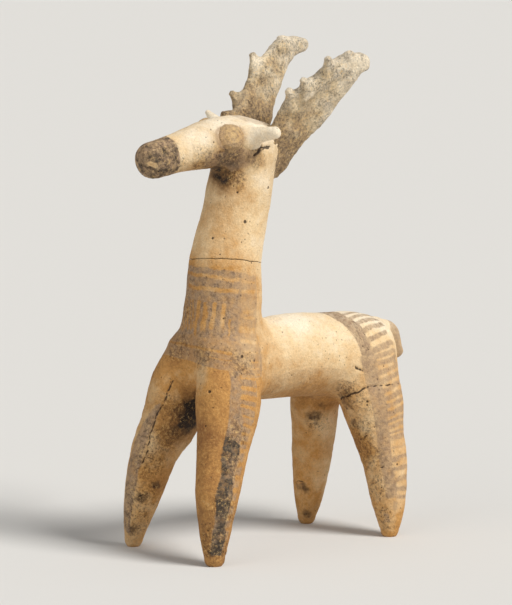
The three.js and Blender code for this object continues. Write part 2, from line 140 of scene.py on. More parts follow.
# Head, ears and eyes: x, share of the head's length from the nape, rise over its axis
HEAD = [
    (0, 0, -0.5, 13.6, 12.6),
    (0, 0.227, 2.4, 14.6, 13.4),
    (0, 0.47, 2.6, 12.6, 12.2),
    (0, 0.742, 0, 10.2, 10.1),
    (0, 1, -3, 9.2, 9.2),
]
EAR = [
    (9, 0.242, 6.4, 4, 4.2),
    (17, 0.189, 8.8, 3.7, 3.9),
    (25, 0.144, 11, 2.8, 3.1),
]
EAR_TIP_RIGHT = (25.5, 0.16, 12.2, 1.5, 1.7)
EYE = [
    (9.6, 0.386, 6.6, 6.3, 6.3),
    (12.4, 0.4, 8.2, 6.2, 6.2),
]
# Tail: x, y from the trunk's end, rise over the trunk's axis
TAIL = [
    (0, 7, 9, 5, 5.4),
    (0, 15.6, 6.4, 4.9, 5),
    (0, 20, -4, 4.2, 4.2),
]
# Antlers: x, y, share of the antlers' rise
ANTLER_RIGHT = [
    (-9.5, 1, 0.114, 3.4, 11),
    (-11.5, 4.5, 0.318, 3.4, 11.2),
    (-14.5, 10, 0.523, 3.3, 10.4),
    (-18.5, 19, 0.727, 3.2, 9),
    (-22, 27.5, 0.898, 3.1, 7.2),
    (-24, 36, 0.982, 3, 4.8),
    (-24.3, 42, 0.991, 2.8, 3),
]
TINES_RIGHT = [
    [(-10.5, -6, 0.273, 2.8, 5), (-10.8, -15.5, 0.309, 2.2, 2.4)],
    [(-13, -1, 0.409, 2.8, 6), (-14.8, -8, 0.532, 1.6, 1.6)],
    [(-17, 11, 0.727, 2.8, 6), (-22.2, 10, 0.918, 1.6, 1.6)],
    [(-22.5, 29, 0.955, 2.8, 5.5), (-25.3, 31.2, 1.068, 1.8, 2.2)],
    [(-24, 39, 1, 2.6, 4), (-24, 44.6, 0.995, 1.8, 2)],
]
ANTLER_LEFT = [
    (8, 4, -0.136, 3.4, 6),
    (9.5, 7, 0.068, 3.6, 9.4),
    (11.5, 11.5, 0.273, 3.5, 12.2),
    (15.5, 18.5, 0.5, 3.4, 12.4),
    (19.5, 25, 0.705, 3.2, 10.5),
    (23, 32.5, 0.886, 3.1, 8.5),
    (24.3, 37.5, 0.95, 3, 6),
    (24.2, 41.5, 0.959, 2.8, 3.8),
]
TINES_LEFT = [
    [(5.5, 2.8, -0.295, 3.6, 4), (7.5, 7, -0.068, 4, 4.8), (9.5, 10.5, 0.136, 4, 6)],
    [(14, 8, 0.5, 2.8, 6), (15.2, 3, 0.655, 1.8, 2)],
    [(18.5, 13, 0.659, 2.8, 6.5), (20, 7.8, 0.786, 1.6, 1.6)],
    [(22, 23, 0.841, 2.8, 6), (24.4, 19.2, 1.027, 1.6, 1.9)],
    [(24, 32, 0.955, 2.8, 5.5), (25.6, 31.7, 1.073, 1.8, 2.4)],
    [(24, 40, 0.966, 2.6, 4), (23.5, 43.2, 0.945, 1.8, 2.2)],
]

# Length over which the crease between two limbs is filled
MELT = {
    "neck": 12, "foreleg": 9, "hindleg": 8, "head": 5, "tail": 3,
    "tine": 4, "antler": 3, "ear": 4.5, "eye": 0.8,
}

# Grid steps: the field is searched on the coarse one, the surface is drawn on the fine one. The
# fewest rows and columns come next, and then the fine and coarse steps of the small pieces.
COARSE = 1.6
FINE = 0.47
FEWEST_COARSE = (8, 16)
FEWEST_FINE = (16, 24)
FACE_GRID = (0.35, 1.0)
ANTLER_GRID = (0.45, 1.0)
TINE_GRID = (0.45, 0.8)
TAIL_GRID = (0.45, 1.2)

# The search: rounds for a skin and for a spot, share of the way gone in each, least distance out
SKIN_STEPS = 12
SPOT_STEPS = 14
SEARCH_EASE = 0.9
LEAST_OUT = 0.2

# The drawing's origin in the row frame, found from two nodes whose place in it is known
MM = 0.001
TAIL_PEG_START = TRUNK_END + 4
SHIFT = np.array([
    (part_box("neck_upper")[0].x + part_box("neck_upper")[1].x) / 2 / MM,
    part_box("tail")[0].y / MM - TAIL_PEG_START,
    0.0,
])


def cubic(w):
    """Catmull-Rom weights of four neighbours at share w between the middle two: each end slope is
    half the chord between the neighbours on either side."""
    return (
        ((2 - w) * w - 1) * w / 2,
        ((3 * w - 5) * w * w + 2) / 2,
        ((4 - 3 * w) * w + 1) * w / 2,
        (w - 1) * w * w / 2,
    )


def spline(points, t):
    """Catmull-Rom curve through the points at share t, with the end spans carried straight on."""
    points = np.asarray(points, float)
    last = len(points) - 1
    padded = np.vstack([2 * points[0] - points[1], points, 2 * points[-1] - points[-2]])
    place = np.clip(np.atleast_1d(t), 0, 1) * last
    index = np.minimum(place.astype(int), last - 1)
    parts = cubic((place - index)[:, None])
    return sum(part * padded[index + k] for k, part in enumerate(parts))


def unit(v):
    """Each row divided by its own length."""
    return v / np.linalg.norm(v, axis=-1, keepdims=True)


class Limb:
    """A bent member with an oval section: a spine curve and two half widths along it. A power over
    2 makes the section and the ends squarer."""

    def __init__(self, stations, cap_start, cap_end, power=2.0):
        self.power = power
        self.rows = np.asarray(stations, float)
        steps = np.linspace(0, 1, SPANS + 1)
        self.joints = spline(self.rows[:, :3], steps)
        self.halves = spline(self.rows[:, 3:], steps)
        along = np.diff(self.joints, axis=0)
        self.length = np.linalg.norm(along, axis=1)
        self.along = unit(along)
        self.side = unit(np.array([1.0, 0, 0]) - self.along * self.along[:, :1])
        self.deep = np.cross(self.along, self.side)
        self.caps = (cap_start, cap_end)

    def nearest(self, p):
        """Span, share of it and offset from it of the spine point nearest to each point."""
        spine = p[:, None, :] - self.joints[None, :-1]
        share = np.clip(np.einsum("nsk,sk->ns", spine, self.along) / self.length, 0, 1)
        off = spine - (share * self.length)[..., None] * self.along
        span = np.argmin(np.einsum("nsk,nsk->ns", off, off), axis=1)
        row = np.arange(len(p))
        return span, share[row, span], off[row, span]

    def distance(self, p):
        """Signed distance to the oval skin: the level is the power mean of the offset over the half
        widths, and the distance is the level less 1 over the steepness of the level."""
        span, share, off = self.nearest(p)
        half = self.halves[span] * (1 - share)[:, None] + self.halves[span + 1] * share[:, None]
        x = np.einsum("nk,nk->n", off, self.side[span])
        y = np.einsum("nk,nk->n", off, self.deep[span])
        z = np.einsum("nk,nk->n", off, self.along[span])
        slim = half.min(axis=1)
        at_start = (span == 0) & (share == 0)
        at_end = (span == SPANS - 1) & (share == 1)
        cap = np.where(at_start, self.caps[0], np.where(at_end, self.caps[1], slim))
        size = np.stack([half[:, 0], half[:, 1], cap], axis=1)
        share = np.abs(np.stack([x, y, z], axis=1)) / size
        level = np.maximum((share**self.power).sum(axis=1), 1e-12) ** (1 / self.power)
        slope = np.linalg.norm((share / level[:, None]) ** (self.power - 1) / size, axis=1)
        return np.where(level < 1e-5, -slim, (level - 1) / np.maximum(slope, 1e-9))

    def frames(self, t):
        """Along, side and deep directions at shares t, eased from one span to the next."""
        where = np.atleast_1d(t) * SPANS - 0.5
        low = np.clip(np.floor(where), 0, SPANS - 1).astype(int)
        high = np.minimum(SPANS - 1, low + 1)
        w = np.clip(where - low, 0, 1)[:, None]
        along = unit(self.along[low] * (1 - w) + self.along[high] * w)
        side = self.side[low] * (1 - w) + self.side[high] * w
        side = unit(side - along * np.einsum("nk,nk->n", side, along)[:, None])
        return along, side, np.cross(along, side)

    def locate(self, p):
        """Share along the spine, turn round it in degrees, distance from it, and length past either
        end of it, of each point."""
        span, share, off = self.nearest(p)
        t = (span + share) / SPANS
        along, side, deep = self.frames(t)
        x = np.einsum("nk,nk->n", off, side)
        y = np.einsum("nk,nk->n", off, deep)
        past = np.where((t == 0) | (t == 1), np.einsum("nk,nk->n", off, along), 0)
        return t, np.degrees(np.arctan2(y, x)), np.hypot(x, y), past


def melt(a, b, length):
    """Smaller of two distances, with the crease between them filled over the given length."""
    overlap = np.maximum(length - np.abs(a - b), 0) / length
    return np.minimum(a, b) - overlap**2 * length / 4


def rolled(stations):
    """The head's stations turned by its lean about the lengthwise axis at the head's height."""
    rows = np.asarray(stations, float)
    up = rows[:, 2] - HEAD_HEIGHT
    across = rows[:, 0].copy()
    rows[:, 0] = across * math.cos(HEAD_ROLL) + up * math.sin(HEAD_ROLL)
    rows[:, 2] = HEAD_HEIGHT - across * math.sin(HEAD_ROLL) + up * math.cos(HEAD_ROLL)
    return rows


def mirrored(stations):
    """The same stations on the animal's other side."""
    return [(-row[0], *row[1:]) for row in stations]


def placed(stations, along=None, up=None):
    """Stations with their second and third numbers turned into y and z by the two given rules."""
    rows = np.asarray(stations, float)
    if along:
        rows[:, 1] = along(rows[:, 1])
    if up:
        rows[:, 2] = up(rows[:, 2])
    return rows


def behind(y):
    """y counted from the trunk's end."""
    return TRUNK_END + y


def trunk_up(rise):
    """Height at a rise over the trunk's axis."""
    return TRUNK_HEIGHT + rise


def leg_up(share):
    """Height at a share of the trunk's height."""
    return share * TRUNK_HEIGHT


def on_head(stations, cap_start, cap_end, power=2.0):
    """A limb of the head's own frame: share of the head's length, rise over its axis."""
    rows = placed(stations, lambda v: HEAD_START - v * HEAD_LENGTH, lambda v: HEAD_HEIGHT + v)
    return Limb(rolled(rows), cap_start, cap_end, power)


def over_head(stations, cap_start, cap_end):
    """A limb of the antlers: y as it is, share of the antlers' rise over the head's axis."""
    rows = placed(stations, None, lambda v: HEAD_HEIGHT + v * ANTLER_RISE)
    return Limb(rolled(rows), cap_start, cap_end, SLAB_POWER)


trunk = Limb(placed(TRUNK, lambda v: TRUNK_START + v * TRUNK_LENGTH, trunk_up), 12, 12)
neck = Limb(placed(NECK, None, lambda v: TRUNK_HEIGHT + v * NECK_RISE), 7, 8)
foreleg_left = Limb(placed(FORELEG_LEFT, None, leg_up), 8, 5.6)
foreleg_right = Limb(placed(FORELEG_RIGHT, None, leg_up), 8, 5.6)
hindleg_left = Limb(placed(HINDLEG_LEFT, behind, leg_up), 8, 5)
hindleg_right = Limb(placed(HINDLEG_RIGHT, behind, leg_up), 8, 5)
tail = Limb(placed(TAIL, behind, trunk_up), 3, 3.5)
head = on_head(HEAD, 9, 8)
ear_left = on_head(EAR, 3, 2.5)
ear_right = on_head(mirrored(EAR[:-1] + [EAR_TIP_RIGHT]), 3, 2.5)
eye_left = on_head(EYE, 1, 1.8)
eye_right = on_head(mirrored(EYE), 1, 1.8)
antler_left = [over_head(ANTLER_LEFT, 5, 3.5)] + [over_head(rows, 2, 1.6) for rows in TINES_LEFT]
antler_right = [over_head(ANTLER_RIGHT, 5, 3)] + [over_head(rows, 2, 1.6) for rows in TINES_RIGHT]


# The body's limbs in the order in which they melt together, each with its melting length
BODY = (
    (neck, 0),
    (foreleg_left, MELT["foreleg"]),
    (foreleg_right, MELT["foreleg"]),
    (head, MELT["head"]),
    (trunk, MELT["neck"]),
    (hindleg_left, MELT["hindleg"]),
    (hindleg_right, MELT["hindleg"]),
)
SUNK_DEPTH = 2.5
SUNK_RUN = 5
BODY_SUNK_START = 0.5
SMALL_SUNK_SHARE = 0.8


def sunk(gap, start):
    """How deep a limb's skin dives where another limb lies nearer by the given gap: an S from 0 at
    the start to full depth a run on, so that only one skin shows there."""
    return SUNK_DEPTH * smooth(gap, start, start + SUNK_RUN)


def melted(distances, chain):
    """Distances to the limbs of a chain melted into one, each over the length given beside it."""
    whole = distances[0]
    for distance, (_, length) in zip(distances[1:], chain[1:]):
        whole = melt(whole, distance, length)
    return whole


def whole_field(p):
    """All limbs of the body melted together."""
    return melted([limb.distance(p) for limb, _ in BODY], BODY)


def body_field(own, limbs):
    """The given limbs melted into one clay body, as the skin of one of them sees it."""
    chain = [row for row in BODY if row[0] in limbs]
    mine = [limb for limb, _ in chain].index(own)

    def field(p):
        distances = [limb.distance(p) for limb, _ in chain]
        others = np.minimum.reduce(distances[:mine] + distances[mine + 1 :])
        return melted(distances, chain) + sunk(distances[mine] - others, BODY_SUNK_START)

    return field


def small_field(own, length, tines=(), host=(neck, head)):
    """A small limb and its tines melted together, then into the limbs that carry it."""
    chain = [row for row in BODY if row[0] in host]

    def field(p):
        whole = melted([limb.distance(p) for limb, _ in chain], chain)
        mine = own.distance(p)
        for tine in tines:
            mine = melt(mine, tine.distance(p), MELT["tine"])
        return melt(whole, mine, length) + sunk(mine - whole, SMALL_SUNK_SHARE * length)

    return field


def resample(values, rows, turns):
    """Values on a coarse grid read at fractional rows and columns: a Catmull-Rom cubic each way,
    held at the first and last row and going round in the columns."""
    last, around = values.shape[0] - 1, values.shape[1]
    low = np.clip(np.floor(rows), 0, last - 1).astype(int)
    parts = cubic((rows - low)[:, None])
    tall = sum(part * values[np.clip(low + k - 1, 0, last)] for k, part in enumerate(parts))
    left = np.floor(turns).astype(int)
    return sum(part * tall[:, (left + k - 1) % around] for k, part in enumerate(cubic(turns - left)))


def headings(limb, v, turns, ends):
    """Spine points and outward directions of grid rows v: a quarter turn over the first end, along
    the spine, and a quarter turn over the last end."""
    first, last = ends
    t = np.clip((v - first) / (1 - first - last), 0, 1)
    lean = np.where(v < first, v / max(first, 1e-9), np.where(v > 1 - last, (1 - v) / max(last, 1e-9), 1.0))
    lean = np.clip(lean, 0, 1) * math.pi / 2
    sign = np.where(v < 0.5, -1.0, 1.0)
    along, side, deep = limb.frames(t)
    across = side[:, None] * np.cos(turns)[None, :, None] + deep[:, None] * np.sin(turns)[None, :, None]
    way = across * np.sin(lean)[:, None, None] + along[:, None] * (sign * np.cos(lean))[:, None, None]
    return spline(limb.rows[:, :3], t), spline(limb.rows[:, 3:], t), way


def skin(limb, field, reach=7.0, fine=FINE, coarse=COARSE):
    """Surface of a limb: from each spine point outward, the distance at which the field is zero.
    It is searched on a coarse grid and read on a fine one. Returns rows x turns x 3 points."""
    start, end = (limb.halves[k].mean() * math.pi / 2 for k in (0, -1))
    whole = start + limb.length.sum() + end
    girth = 2 * math.pi * limb.halves.mean()

    def rays(step, fewest):
        """Shares along, number of columns, and headings of a grid with this step."""
        rows, around = (max(least, int(size / step)) for least, size in zip(fewest, (whole, girth)))
        v = np.linspace(0, 1, rows + 1)
        turns = np.arange(around) * 2 * math.pi / around
        return v, around, headings(limb, v, turns, (start / whole, end / whole))

    v, around, (centre, half, way) = rays(coarse, FEWEST_COARSE)
    rows = len(v) - 1
    limit = (half.max(axis=1) + reach)[:, None] * np.ones(around)
    out = half.mean(axis=1)[:, None] * np.ones(around)
    for _ in range(SKIN_STEPS):
        p = centre[:, None] + way * out[..., None]
        out = np.clip(out - SEARCH_EASE * field(p.reshape(-1, 3)).reshape(out.shape), LEAST_OUT, limit)

    v, fine_around, (centre, half, way) = rays(fine, FEWEST_FINE)
    out = resample(out, v * rows, np.arange(fine_around) * around / fine_around)
    return centre[:, None] + way * out[..., None]


def lattice(cells, seed):
    """A repeatable number from 0 to 1 for each whole-number corner."""
    x, y, z = (cells[..., k].astype(np.int64) for k in range(3))
    n = (x * 73856093) ^ (y * 19349663) ^ (z * 83492791) ^ (seed * 2654435761)
    n = (n ^ (n >> 13)) * 1274126177
    return ((n ^ (n >> 16)) & 0xFFFFFF) / 0xFFFFFF


def noise(p, size, seed=0):
    """Smooth noise from -1 to 1: lattice numbers a given size apart, blended along all three axes."""
    q = p / size
    base = np.floor(q)
    w = q - base
    w = w * w * (3 - 2 * w)
    total = np.zeros(len(p))
    for corner in range(8):
        step = np.array([corner & 1, corner >> 1 & 1, corner >> 2 & 1])
        share = np.prod(np.where(step, w, 1 - w), axis=1)
        total += share * lattice(base + step, seed)
    return total * 2 - 1


def layered(p, layers):
    """Sum of noises, each with its height, its grain in millimetres and its seed."""
    return sum(height * noise(p, size, seed) for height, size, seed in layers)


def smooth(value, low, high):
    """0 below low, 1 above high, and an even S between them."""
    w = np.clip((value - low) / (high - low), 0, 1)
    return w * w * (3 - 2 * w)


def bars(weight, rows):
    """Straight strokes of one strength: each row has half width, then the corner at either end."""
    return [(weight, half, [(turn_a, s_a), (turn_b, s_b)]) for half, turn_a, s_a, turn_b, s_b in rows]


# Layers of noise, each with its height, its grain in millimetres and its seed
UNEVEN = ((0.28, 13, 3), (0.12, 5, 5), (0.05, 1.7, 7))
FINGER_MARKS = ((0.07, 2.2, 11),)
POROUS_GRIT = ((0.2, 1.4, 81),)
POROUS_LAYERS = ((0.2, 2.6, 82),)
POROUS_RAGGED = ((0.35, 4, 94), (0.2, 1.6, 95))
CRACK_SWELL = ((0.4, 2, 34),)
CRACK_WANDER = [((0.7, 2.4, seed), (0.3, 0.9, seed + 5)) for seed in (31, 32, 33)]
STAIN_AND_SHADE_BLOTS = ((0.72, 4.2, 71), (0.56, 1.6, 72))
SOOT_PATCHES = ((0.16, 2.6, 97),)
BRUSH_TURN = ((1.8, 5, 91),)
BRUSH_ALONG = ((0.55, 5.5, 92),)
BREAK_WANDER = ((0.45, 7, 41), (0.2, 2, 42))
SMALL_UNEVEN = ((0.12, 4, 5), (0.06, 1.6, 7))
EYE_RAGGED = ((0.5, 1.6, 96),)
ANTLER_UNEVEN = ((0.3, 4.5, 61), (0.2, 1.9, 62))
ANTLER_RUB = ((0.26, 5, 51),)
ANTLER_PATCHES = ((0.9, 3.2, 52), (0.6, 1.3, 53))
ANTLER_GRIT = ((0.7, 5, 54),)

# How noise is stretched along the trunk by fingers, flattened in porous clay, and laid flat
FINGER_STRETCH = np.array([1, 0.16, 1])
LAYER_STRETCH = np.array([1, 1, 2.2])
ACROSS = np.array([1, 1, 0])

# How far each kind of surface is set back, so that its noise stays inside the plain form
BODY_SINK = 0.2
SMALL_SINK = 0.1
ANTLER_SINK = 0.15
FAR_OUTSIDE = -9.0

# The painted rings: round the eye on the head, and the rim and inner ring on the pellet
EYE_TURN = 378
EYE_ALONG = 29
EYE_RING_TURN = 30
EYE_RING = 6.9
EYE_RIM = 4.0
EYE_INNER = 2.2
EYE_STROKE = 0.55

# Shares along the spine over which the root of an ear and of an antler fades into the rest
EAR_ROOT = (0, 0.35)
ANTLER_ROOT = (0.05, 0.5)
ANTLER_TIP = (0.5, 1)
SLAB_EDGE = (0.9, 1)
LEFT_ANTLER_WORN = 0.12

# The antlers' marks: everywhere, and what the root, the tip and the slab's edge add to them
ANTLER_MARKS = {
    "paint": (0.2, 0.5, 0, 0),
    "strength": (0.35, 0.25, 0, 0),
    "bare": (0.38, 0.5, -0.42, -0.2),
    "grit": (0.85, 0.3, 0, 0),
}
ANTLER_NOISE = {"paint": ANTLER_PATCHES, "bare": ANTLER_RUB, "grit": ANTLER_GRIT}

# Worn paint on the unrolled skin of a limb, laid on in this order. Each mark has its strength, its
# half width in millimetres, and corners of degrees round the limb and millimetres along it. Half
# width 0 makes a filled area of the corners, and strength 0 leaves the clay bare again.
NECK_PAINT = [
    (0.64, 0, [
        (195, 10.4), (230, 9.6), (250, 9), (285, 8), (300, 6.5), (346, 5.5), (346, 24), (195, 24),
    ]),
    (0.88, 0, [(195, 23), (346, 23), (346, 50.6), (320, 51.2), (300, 51.4), (250, 52), (195, 52.8)]),
    (0, 0.6, [(195, 18.4), (250, 18), (300, 17.6), (334, 17)]),
    *bars(0, [(0.35, 300, 13.6, 334, 13)]),
    (0, 0.75, [(232, 48.2), (290, 48), (343, 47.6)]),
    (0, 0.8, [(252, 43.4), (300, 43.2), (343, 43)]),
    (0, 0, [(289, 25), (297, 26), (298, 33), (294, 37), (289, 37)]),
    *bars(0, [
        (1.1, 306, 27.5, 308, 37), (1, 321, 28.5, 322, 36.6), (1, 279, 24, 281, 36.6),
        (0.45, 274, 26, 270, 37), (0.5, 269, 25, 263, 37), (0.5, 262, 25, 257, 34),
        (0.5, 255, 26, 251, 37), (0.6, 246, 25, 241, 37), (0.6, 236, 25, 232, 36),
        (0.4, 226, 25, 224, 37), (0.45, 333, 25, 332, 31),
    ]),
    (0.54, 0, [(345, 1), (380, 1), (380, 49.6), (345, 50.6)]),
    *bars(0.75, [(0.7, 346, 2, 346, 50)]),
    *bars(0.8, [(0.9, 381, 2, 382, 20)]),
    *bars(0.6, [(0.5, 379, 20, 378, 49)]),
    *bars(0, [
        (0.5, 350, 47, 376, 46.6), (0.7, 350, 43, 376, 42.6), (0.5, 352, 34.6, 370, 34.6),
        (0.5, 354, 32.2, 374, 32.2), (1.1, 350, 27.6, 376, 27.4), (0.8, 350, 23, 376, 23),
        (0.5, 352, 18, 375, 18), (0.6, 356, 12.6, 376, 12.6), (0.6, 354, 8, 376, 8),
        (0.7, 354, 3.2, 376, 3.2),
    ]),
]
FORELEG_PAINT = [
    (0.85, 0, [(-27, 8.6), (42, 8.6), (38, 14), (37, 37), (-27, 36)]),
    *bars(0.85, [(0.9, -25, 9, -28, 35)]),
    (0.88, 0, [
        (2, 34), (37, 36), (39, 60), (42, 76), (54, 80), (56, 92), (-4, 92), (-8, 75), (-8, 58),
        (-4, 45),
    ]),
    (0.8, 0, [(3, 34), (-3, 45), (-7, 60), (-7, 84), (-20, 84), (-24, 60), (-27, 36)]),
    *bars(0, [
        (1.15, 12, 12, -25, 11.4), (1.25, 12, 17.2, -25, 16.6), (1.35, 12, 22.6, -26, 22),
        (1.25, 11, 28.2, -27, 27.8), (0.7, 3, 34.4, -26, 33.8), (0.8, -1, 39, -26, 38.4),
        (0.7, -3, 43.4, -25, 43), (0.8, -5, 47.5, -25, 47), (0.7, -6, 50.8, -24, 50.3),
        (0.8, -7, 55.4, -24, 54.8), (0.9, -7, 59.2, -24, 58.7), (1, -8, 63.5, -23, 63),
        (1, -8, 68.5, -22, 68), (1, -8, 73.4, -20, 73), (1, -8, 78.4, -18, 78),
    ]),
]
# Soot over the left foreleg's stripe, and a worn stripe on the outer side of the right one
FORELEG_SOOT = [
    (1.12, 0, [
        (-4, 49), (38, 46), (43, 54), (38, 60), (45, 66), (39, 72), (46, 78), (52, 83), (62, 90), (62, 98),
        (-2, 98), (6, 90), (-8, 83), (4, 75), (-6, 67), (5, 58),
    ]),
]
FORELEG_OUTER = [
    (0.9, 0, [(104, 26), (114, 24), (114, 94), (62, 90), (66, 60), (86, 40)]),
]
HINDLEG_PAINT = [
    (0.8, 0, [
        (6, -10), (42, -10), (42, 20), (43, 25), (48, 33), (54, 40), (55, 44), (50, 50), (50, 57),
        (12, 58), (12, 50), (22, 45), (20, 40), (13, 30), (10, 20), (8, 4),
    ]),
    (0.6, 0, [(8, 60), (25, 59), (25, 64), (9, 64)]),
    (0.65, 0, [(40, 66), (65, 65), (62, 73), (42, 72)]),
    *bars(0.78, [
        (1, 10, -6, -60, -6.6), (1, 10, -2.6, -60, -3.2), (1, 10, 0.6, -60, 0), (1, 10, 4, -60, 3.4),
        (0.95, 10, 7, -60, 6.6), (1, 10, 10.6, -60, 10), (1.15, 10, 14, -62, 13.4),
        (0.95, 9, 17.3, -60, 16.8), (1.15, 9, 20.6, -62, 20.2), (0.95, 10, 23.8, -60, 23.4),
        (1, 11, 26.8, -62, 26.4),
    ]),
    *bars(0.75, [(0.8, 12, 29.8, -60, 29.4)]),
    *bars(0.78, [(1.15, 14, 32.6, -62, 32.2)]),
    *bars(0.5, [(0.6, 16, 37, -60, 36.6)]),
    *bars(0.78, [
        (0.95, 20, 41.7, -62, 41.2), (0.95, 21, 45.6, -60, 45.2), (0.95, 14, 49.6, -60, 49.2),
        (0.95, 12, 53.6, -58, 53.2), (1, 12, 57.4, -56, 57),
    ]),
]
TRUNK_PAINT = [
    (0.88, 0, [
        (240, 36), (285, 38.6), (305, 42), (325, 45), (345, 47.5), (365, 48.5), (385, 50), (405, 52),
        (408, 60), (392, 58.5), (380, 58), (360, 55.4), (340, 55.5), (325, 53.6), (310, 52), (295, 49),
        (240, 46.5),
    ]),
    (0.8, 1.2, [(284, 49), (276, 62), (266, 74)]),
    (0.8, 1.3, [(296, 50), (288, 62), (280, 76)]),
    (0.8, 1.4, [(308, 52), (300, 62), (292, 78)]),
    (0.8, 1.4, [(322, 53.5), (313, 62), (303, 79)]),
    (0.8, 1.4, [(336, 55), (328, 64), (318, 79)]),
    (0.8, 1.3, [(349, 55), (343, 65), (334, 82)]),
    (0.75, 1.2, [(359, 56), (353, 67), (346, 83)]),
    (0.72, 1.1, [(369, 57), (365, 67), (360, 83)]),
    (0.5, 0.9, [(379, 58), (376, 67), (373, 83)]),
    (0.45, 0.7, [(389, 59), (387, 67), (386, 83)]),
    # A faint wash over the underside: worn rough clay and painted shade
    (0.22, 0, [(377, 2), (372, 14), (371, 28), (376, 40), (392, 44), (450, 44), (450, 0)]),
]
HEAD_PAINT = [
    (1.01, 0, [
        (240, 57.8), (270, 58), (330, 57.6), (400, 56.6), (415, 56.4), (480, 57.2), (480, 90),
        (240, 90),
    ]),
    *bars(0, [(1.2, 352, 71, 362, 72.5)]),
    (0.45, 0, [(420, -6), (412, 4), (408, 12), (415, 18), (440, 20), (470, 22), (470, -6)]),
    (0.55, 0, [(300, 14), (349, 15), (352, 24), (347, 34), (345, 43), (300, 42)]),
    *bars(0.5, [(0.35, 333, 24, 334, 28)]),
    (0.6, 1, [
        (EYE_TURN + EYE_RING_TURN * math.cos(a), EYE_ALONG + EYE_RING * math.sin(a))
        for a in np.linspace(0, 2 * math.pi, 13)
    ]),
]
TAIL_PAINT = [
    (0.7, 0, [(-220, 6), (220, 6), (220, 40), (-220, 40)]),
]


def unrolled(limb, p, first, fold=None, flip=False):
    """Degrees round the limb from the first one on, millimetres along it and distance from its
    spine. Degrees below the fold are mirrored to the animal's left side, and a right limb flips."""
    t, turn, radius, past = limb.locate(p)
    if flip:
        turn = 180 - turn
    turn = (turn - first) % 360 + first
    if fold:
        turn = np.where(turn < fold, 540 - turn, turn)
    return turn, t * limb.length.sum() + past, radius


def line_distance(turn, s, radius, corners):
    """Distance on the unrolled skin from each point to a line through the corners."""
    mm = np.radians(1) * radius
    best = np.full(len(s), np.inf)
    for (turn_a, s_a), (turn_b, s_b) in zip(corners, corners[1:]):
        x = (turn - turn_a) * mm
        y = s - s_a
        run_x = (turn_b - turn_a) * mm
        run_y = s_b - s_a
        share = np.clip((x * run_x + y * run_y) / (run_x**2 + run_y**2), 0, 1)
        best = np.minimum(best, np.hypot(x - share * run_x, y - share * run_y))
    return best


def area_distance(turn, s, radius, corners):
    """Signed distance inside the area of the corners, by the even-odd rule."""
    closed = corners + corners[:1]
    inside = np.zeros(len(s), bool)
    for (turn_a, s_a), (turn_b, s_b) in zip(closed, closed[1:]):
        if s_a != s_b:
            crosses = (s_a > s) != (s_b > s)
            inside ^= crosses & (turn < turn_a + (s - s_a) * (turn_b - turn_a) / (s_b - s_a))
    return line_distance(turn, s, radius, closed) * np.where(inside, 1, -1)


# Limb, its paint, first degree, fold, whether it is flipped, and how far it reaches onto others
PAINTED = (
    (foreleg_left, FORELEG_PAINT + FORELEG_SOOT, -120, None, False, 5),
    (foreleg_right, FORELEG_PAINT + FORELEG_OUTER, -120, None, True, 5),
    (neck, NECK_PAINT, 90, 225, False, 16),
    (hindleg_left, HINDLEG_PAINT, -120, None, False, 2),
    (hindleg_right, HINDLEG_PAINT, -120, None, True, 2),
    (trunk, TRUNK_PAINT, 90, 270, False, 2.5),
    (head, HEAD_PAINT, 90, 270, False, 3),
)


def lay_on(marks, turn, s, radius):
    """Signed distance inside the marks laid on in order, and the strength of the last one there."""
    edge = np.full(len(s), FAR_OUTSIDE)
    strength = np.zeros(len(s))
    for weight, half, corners in marks:
        if half:
            inside = half - line_distance(turn, s, radius, corners)
        else:
            inside = area_distance(turn, s, radius, corners)
        if weight:
            strength = np.where((inside > edge) | (inside > 0), weight, strength)
            edge = np.maximum(edge, inside)
        else:
            edge = np.minimum(edge, -inside)
    return edge, strength


def body_paint(p):
    """Signed distance in millimetres inside the painted marks of all limbs, and their strength."""
    distances = np.stack([row[0].distance(p) for row in PAINTED])
    edge = np.full(len(p), FAR_OUTSIDE)
    strength = np.zeros(len(p))
    for k, (limb, marks, first, fold, flip, reach) in enumerate(PAINTED):
        margin = np.delete(distances, k, axis=0).min(axis=0) - distances[k] + reach
        near = np.nonzero(margin > 0)[0]
        if len(near):
            turn, s, radius = unrolled(limb, p[near], first, fold, flip)
            turn = turn + layered(p[near], BRUSH_TURN)
            s = s + layered(p[near], BRUSH_ALONG)
            inside, weight = lay_on(marks, turn, s, radius)
            inside = np.minimum(inside, margin[near])
            deeper = inside > edge[near]
            edge[near[deeper]] = inside[deeper]
            strength[near[deeper]] = weight[deeper]
    return edge, strength


def on_skin(limb, turn, s):
    """The point of the body's skin at degrees round a limb and millimetres along it."""
    t = np.array([s / limb.length.sum()])
    along, side, deep = limb.frames(t)
    way = side * math.cos(math.radians(turn)) + deep * math.sin(math.radians(turn))
    centre = spline(limb.rows[:, :3], t)
    out = limb.halves.mean()
    for _ in range(SPOT_STEPS):
        out = out - SEARCH_EASE * whole_field(centre + way * out)[0]
    return (centre + way * out)[0]


def spots(table):
    """Skin points of a table of limbs, whose rows start with degrees and millimetres, each with the
    rest of its row."""
    return [(on_skin(limb, turn, s), rest) for limb, rows in table for turn, s, *rest in rows]
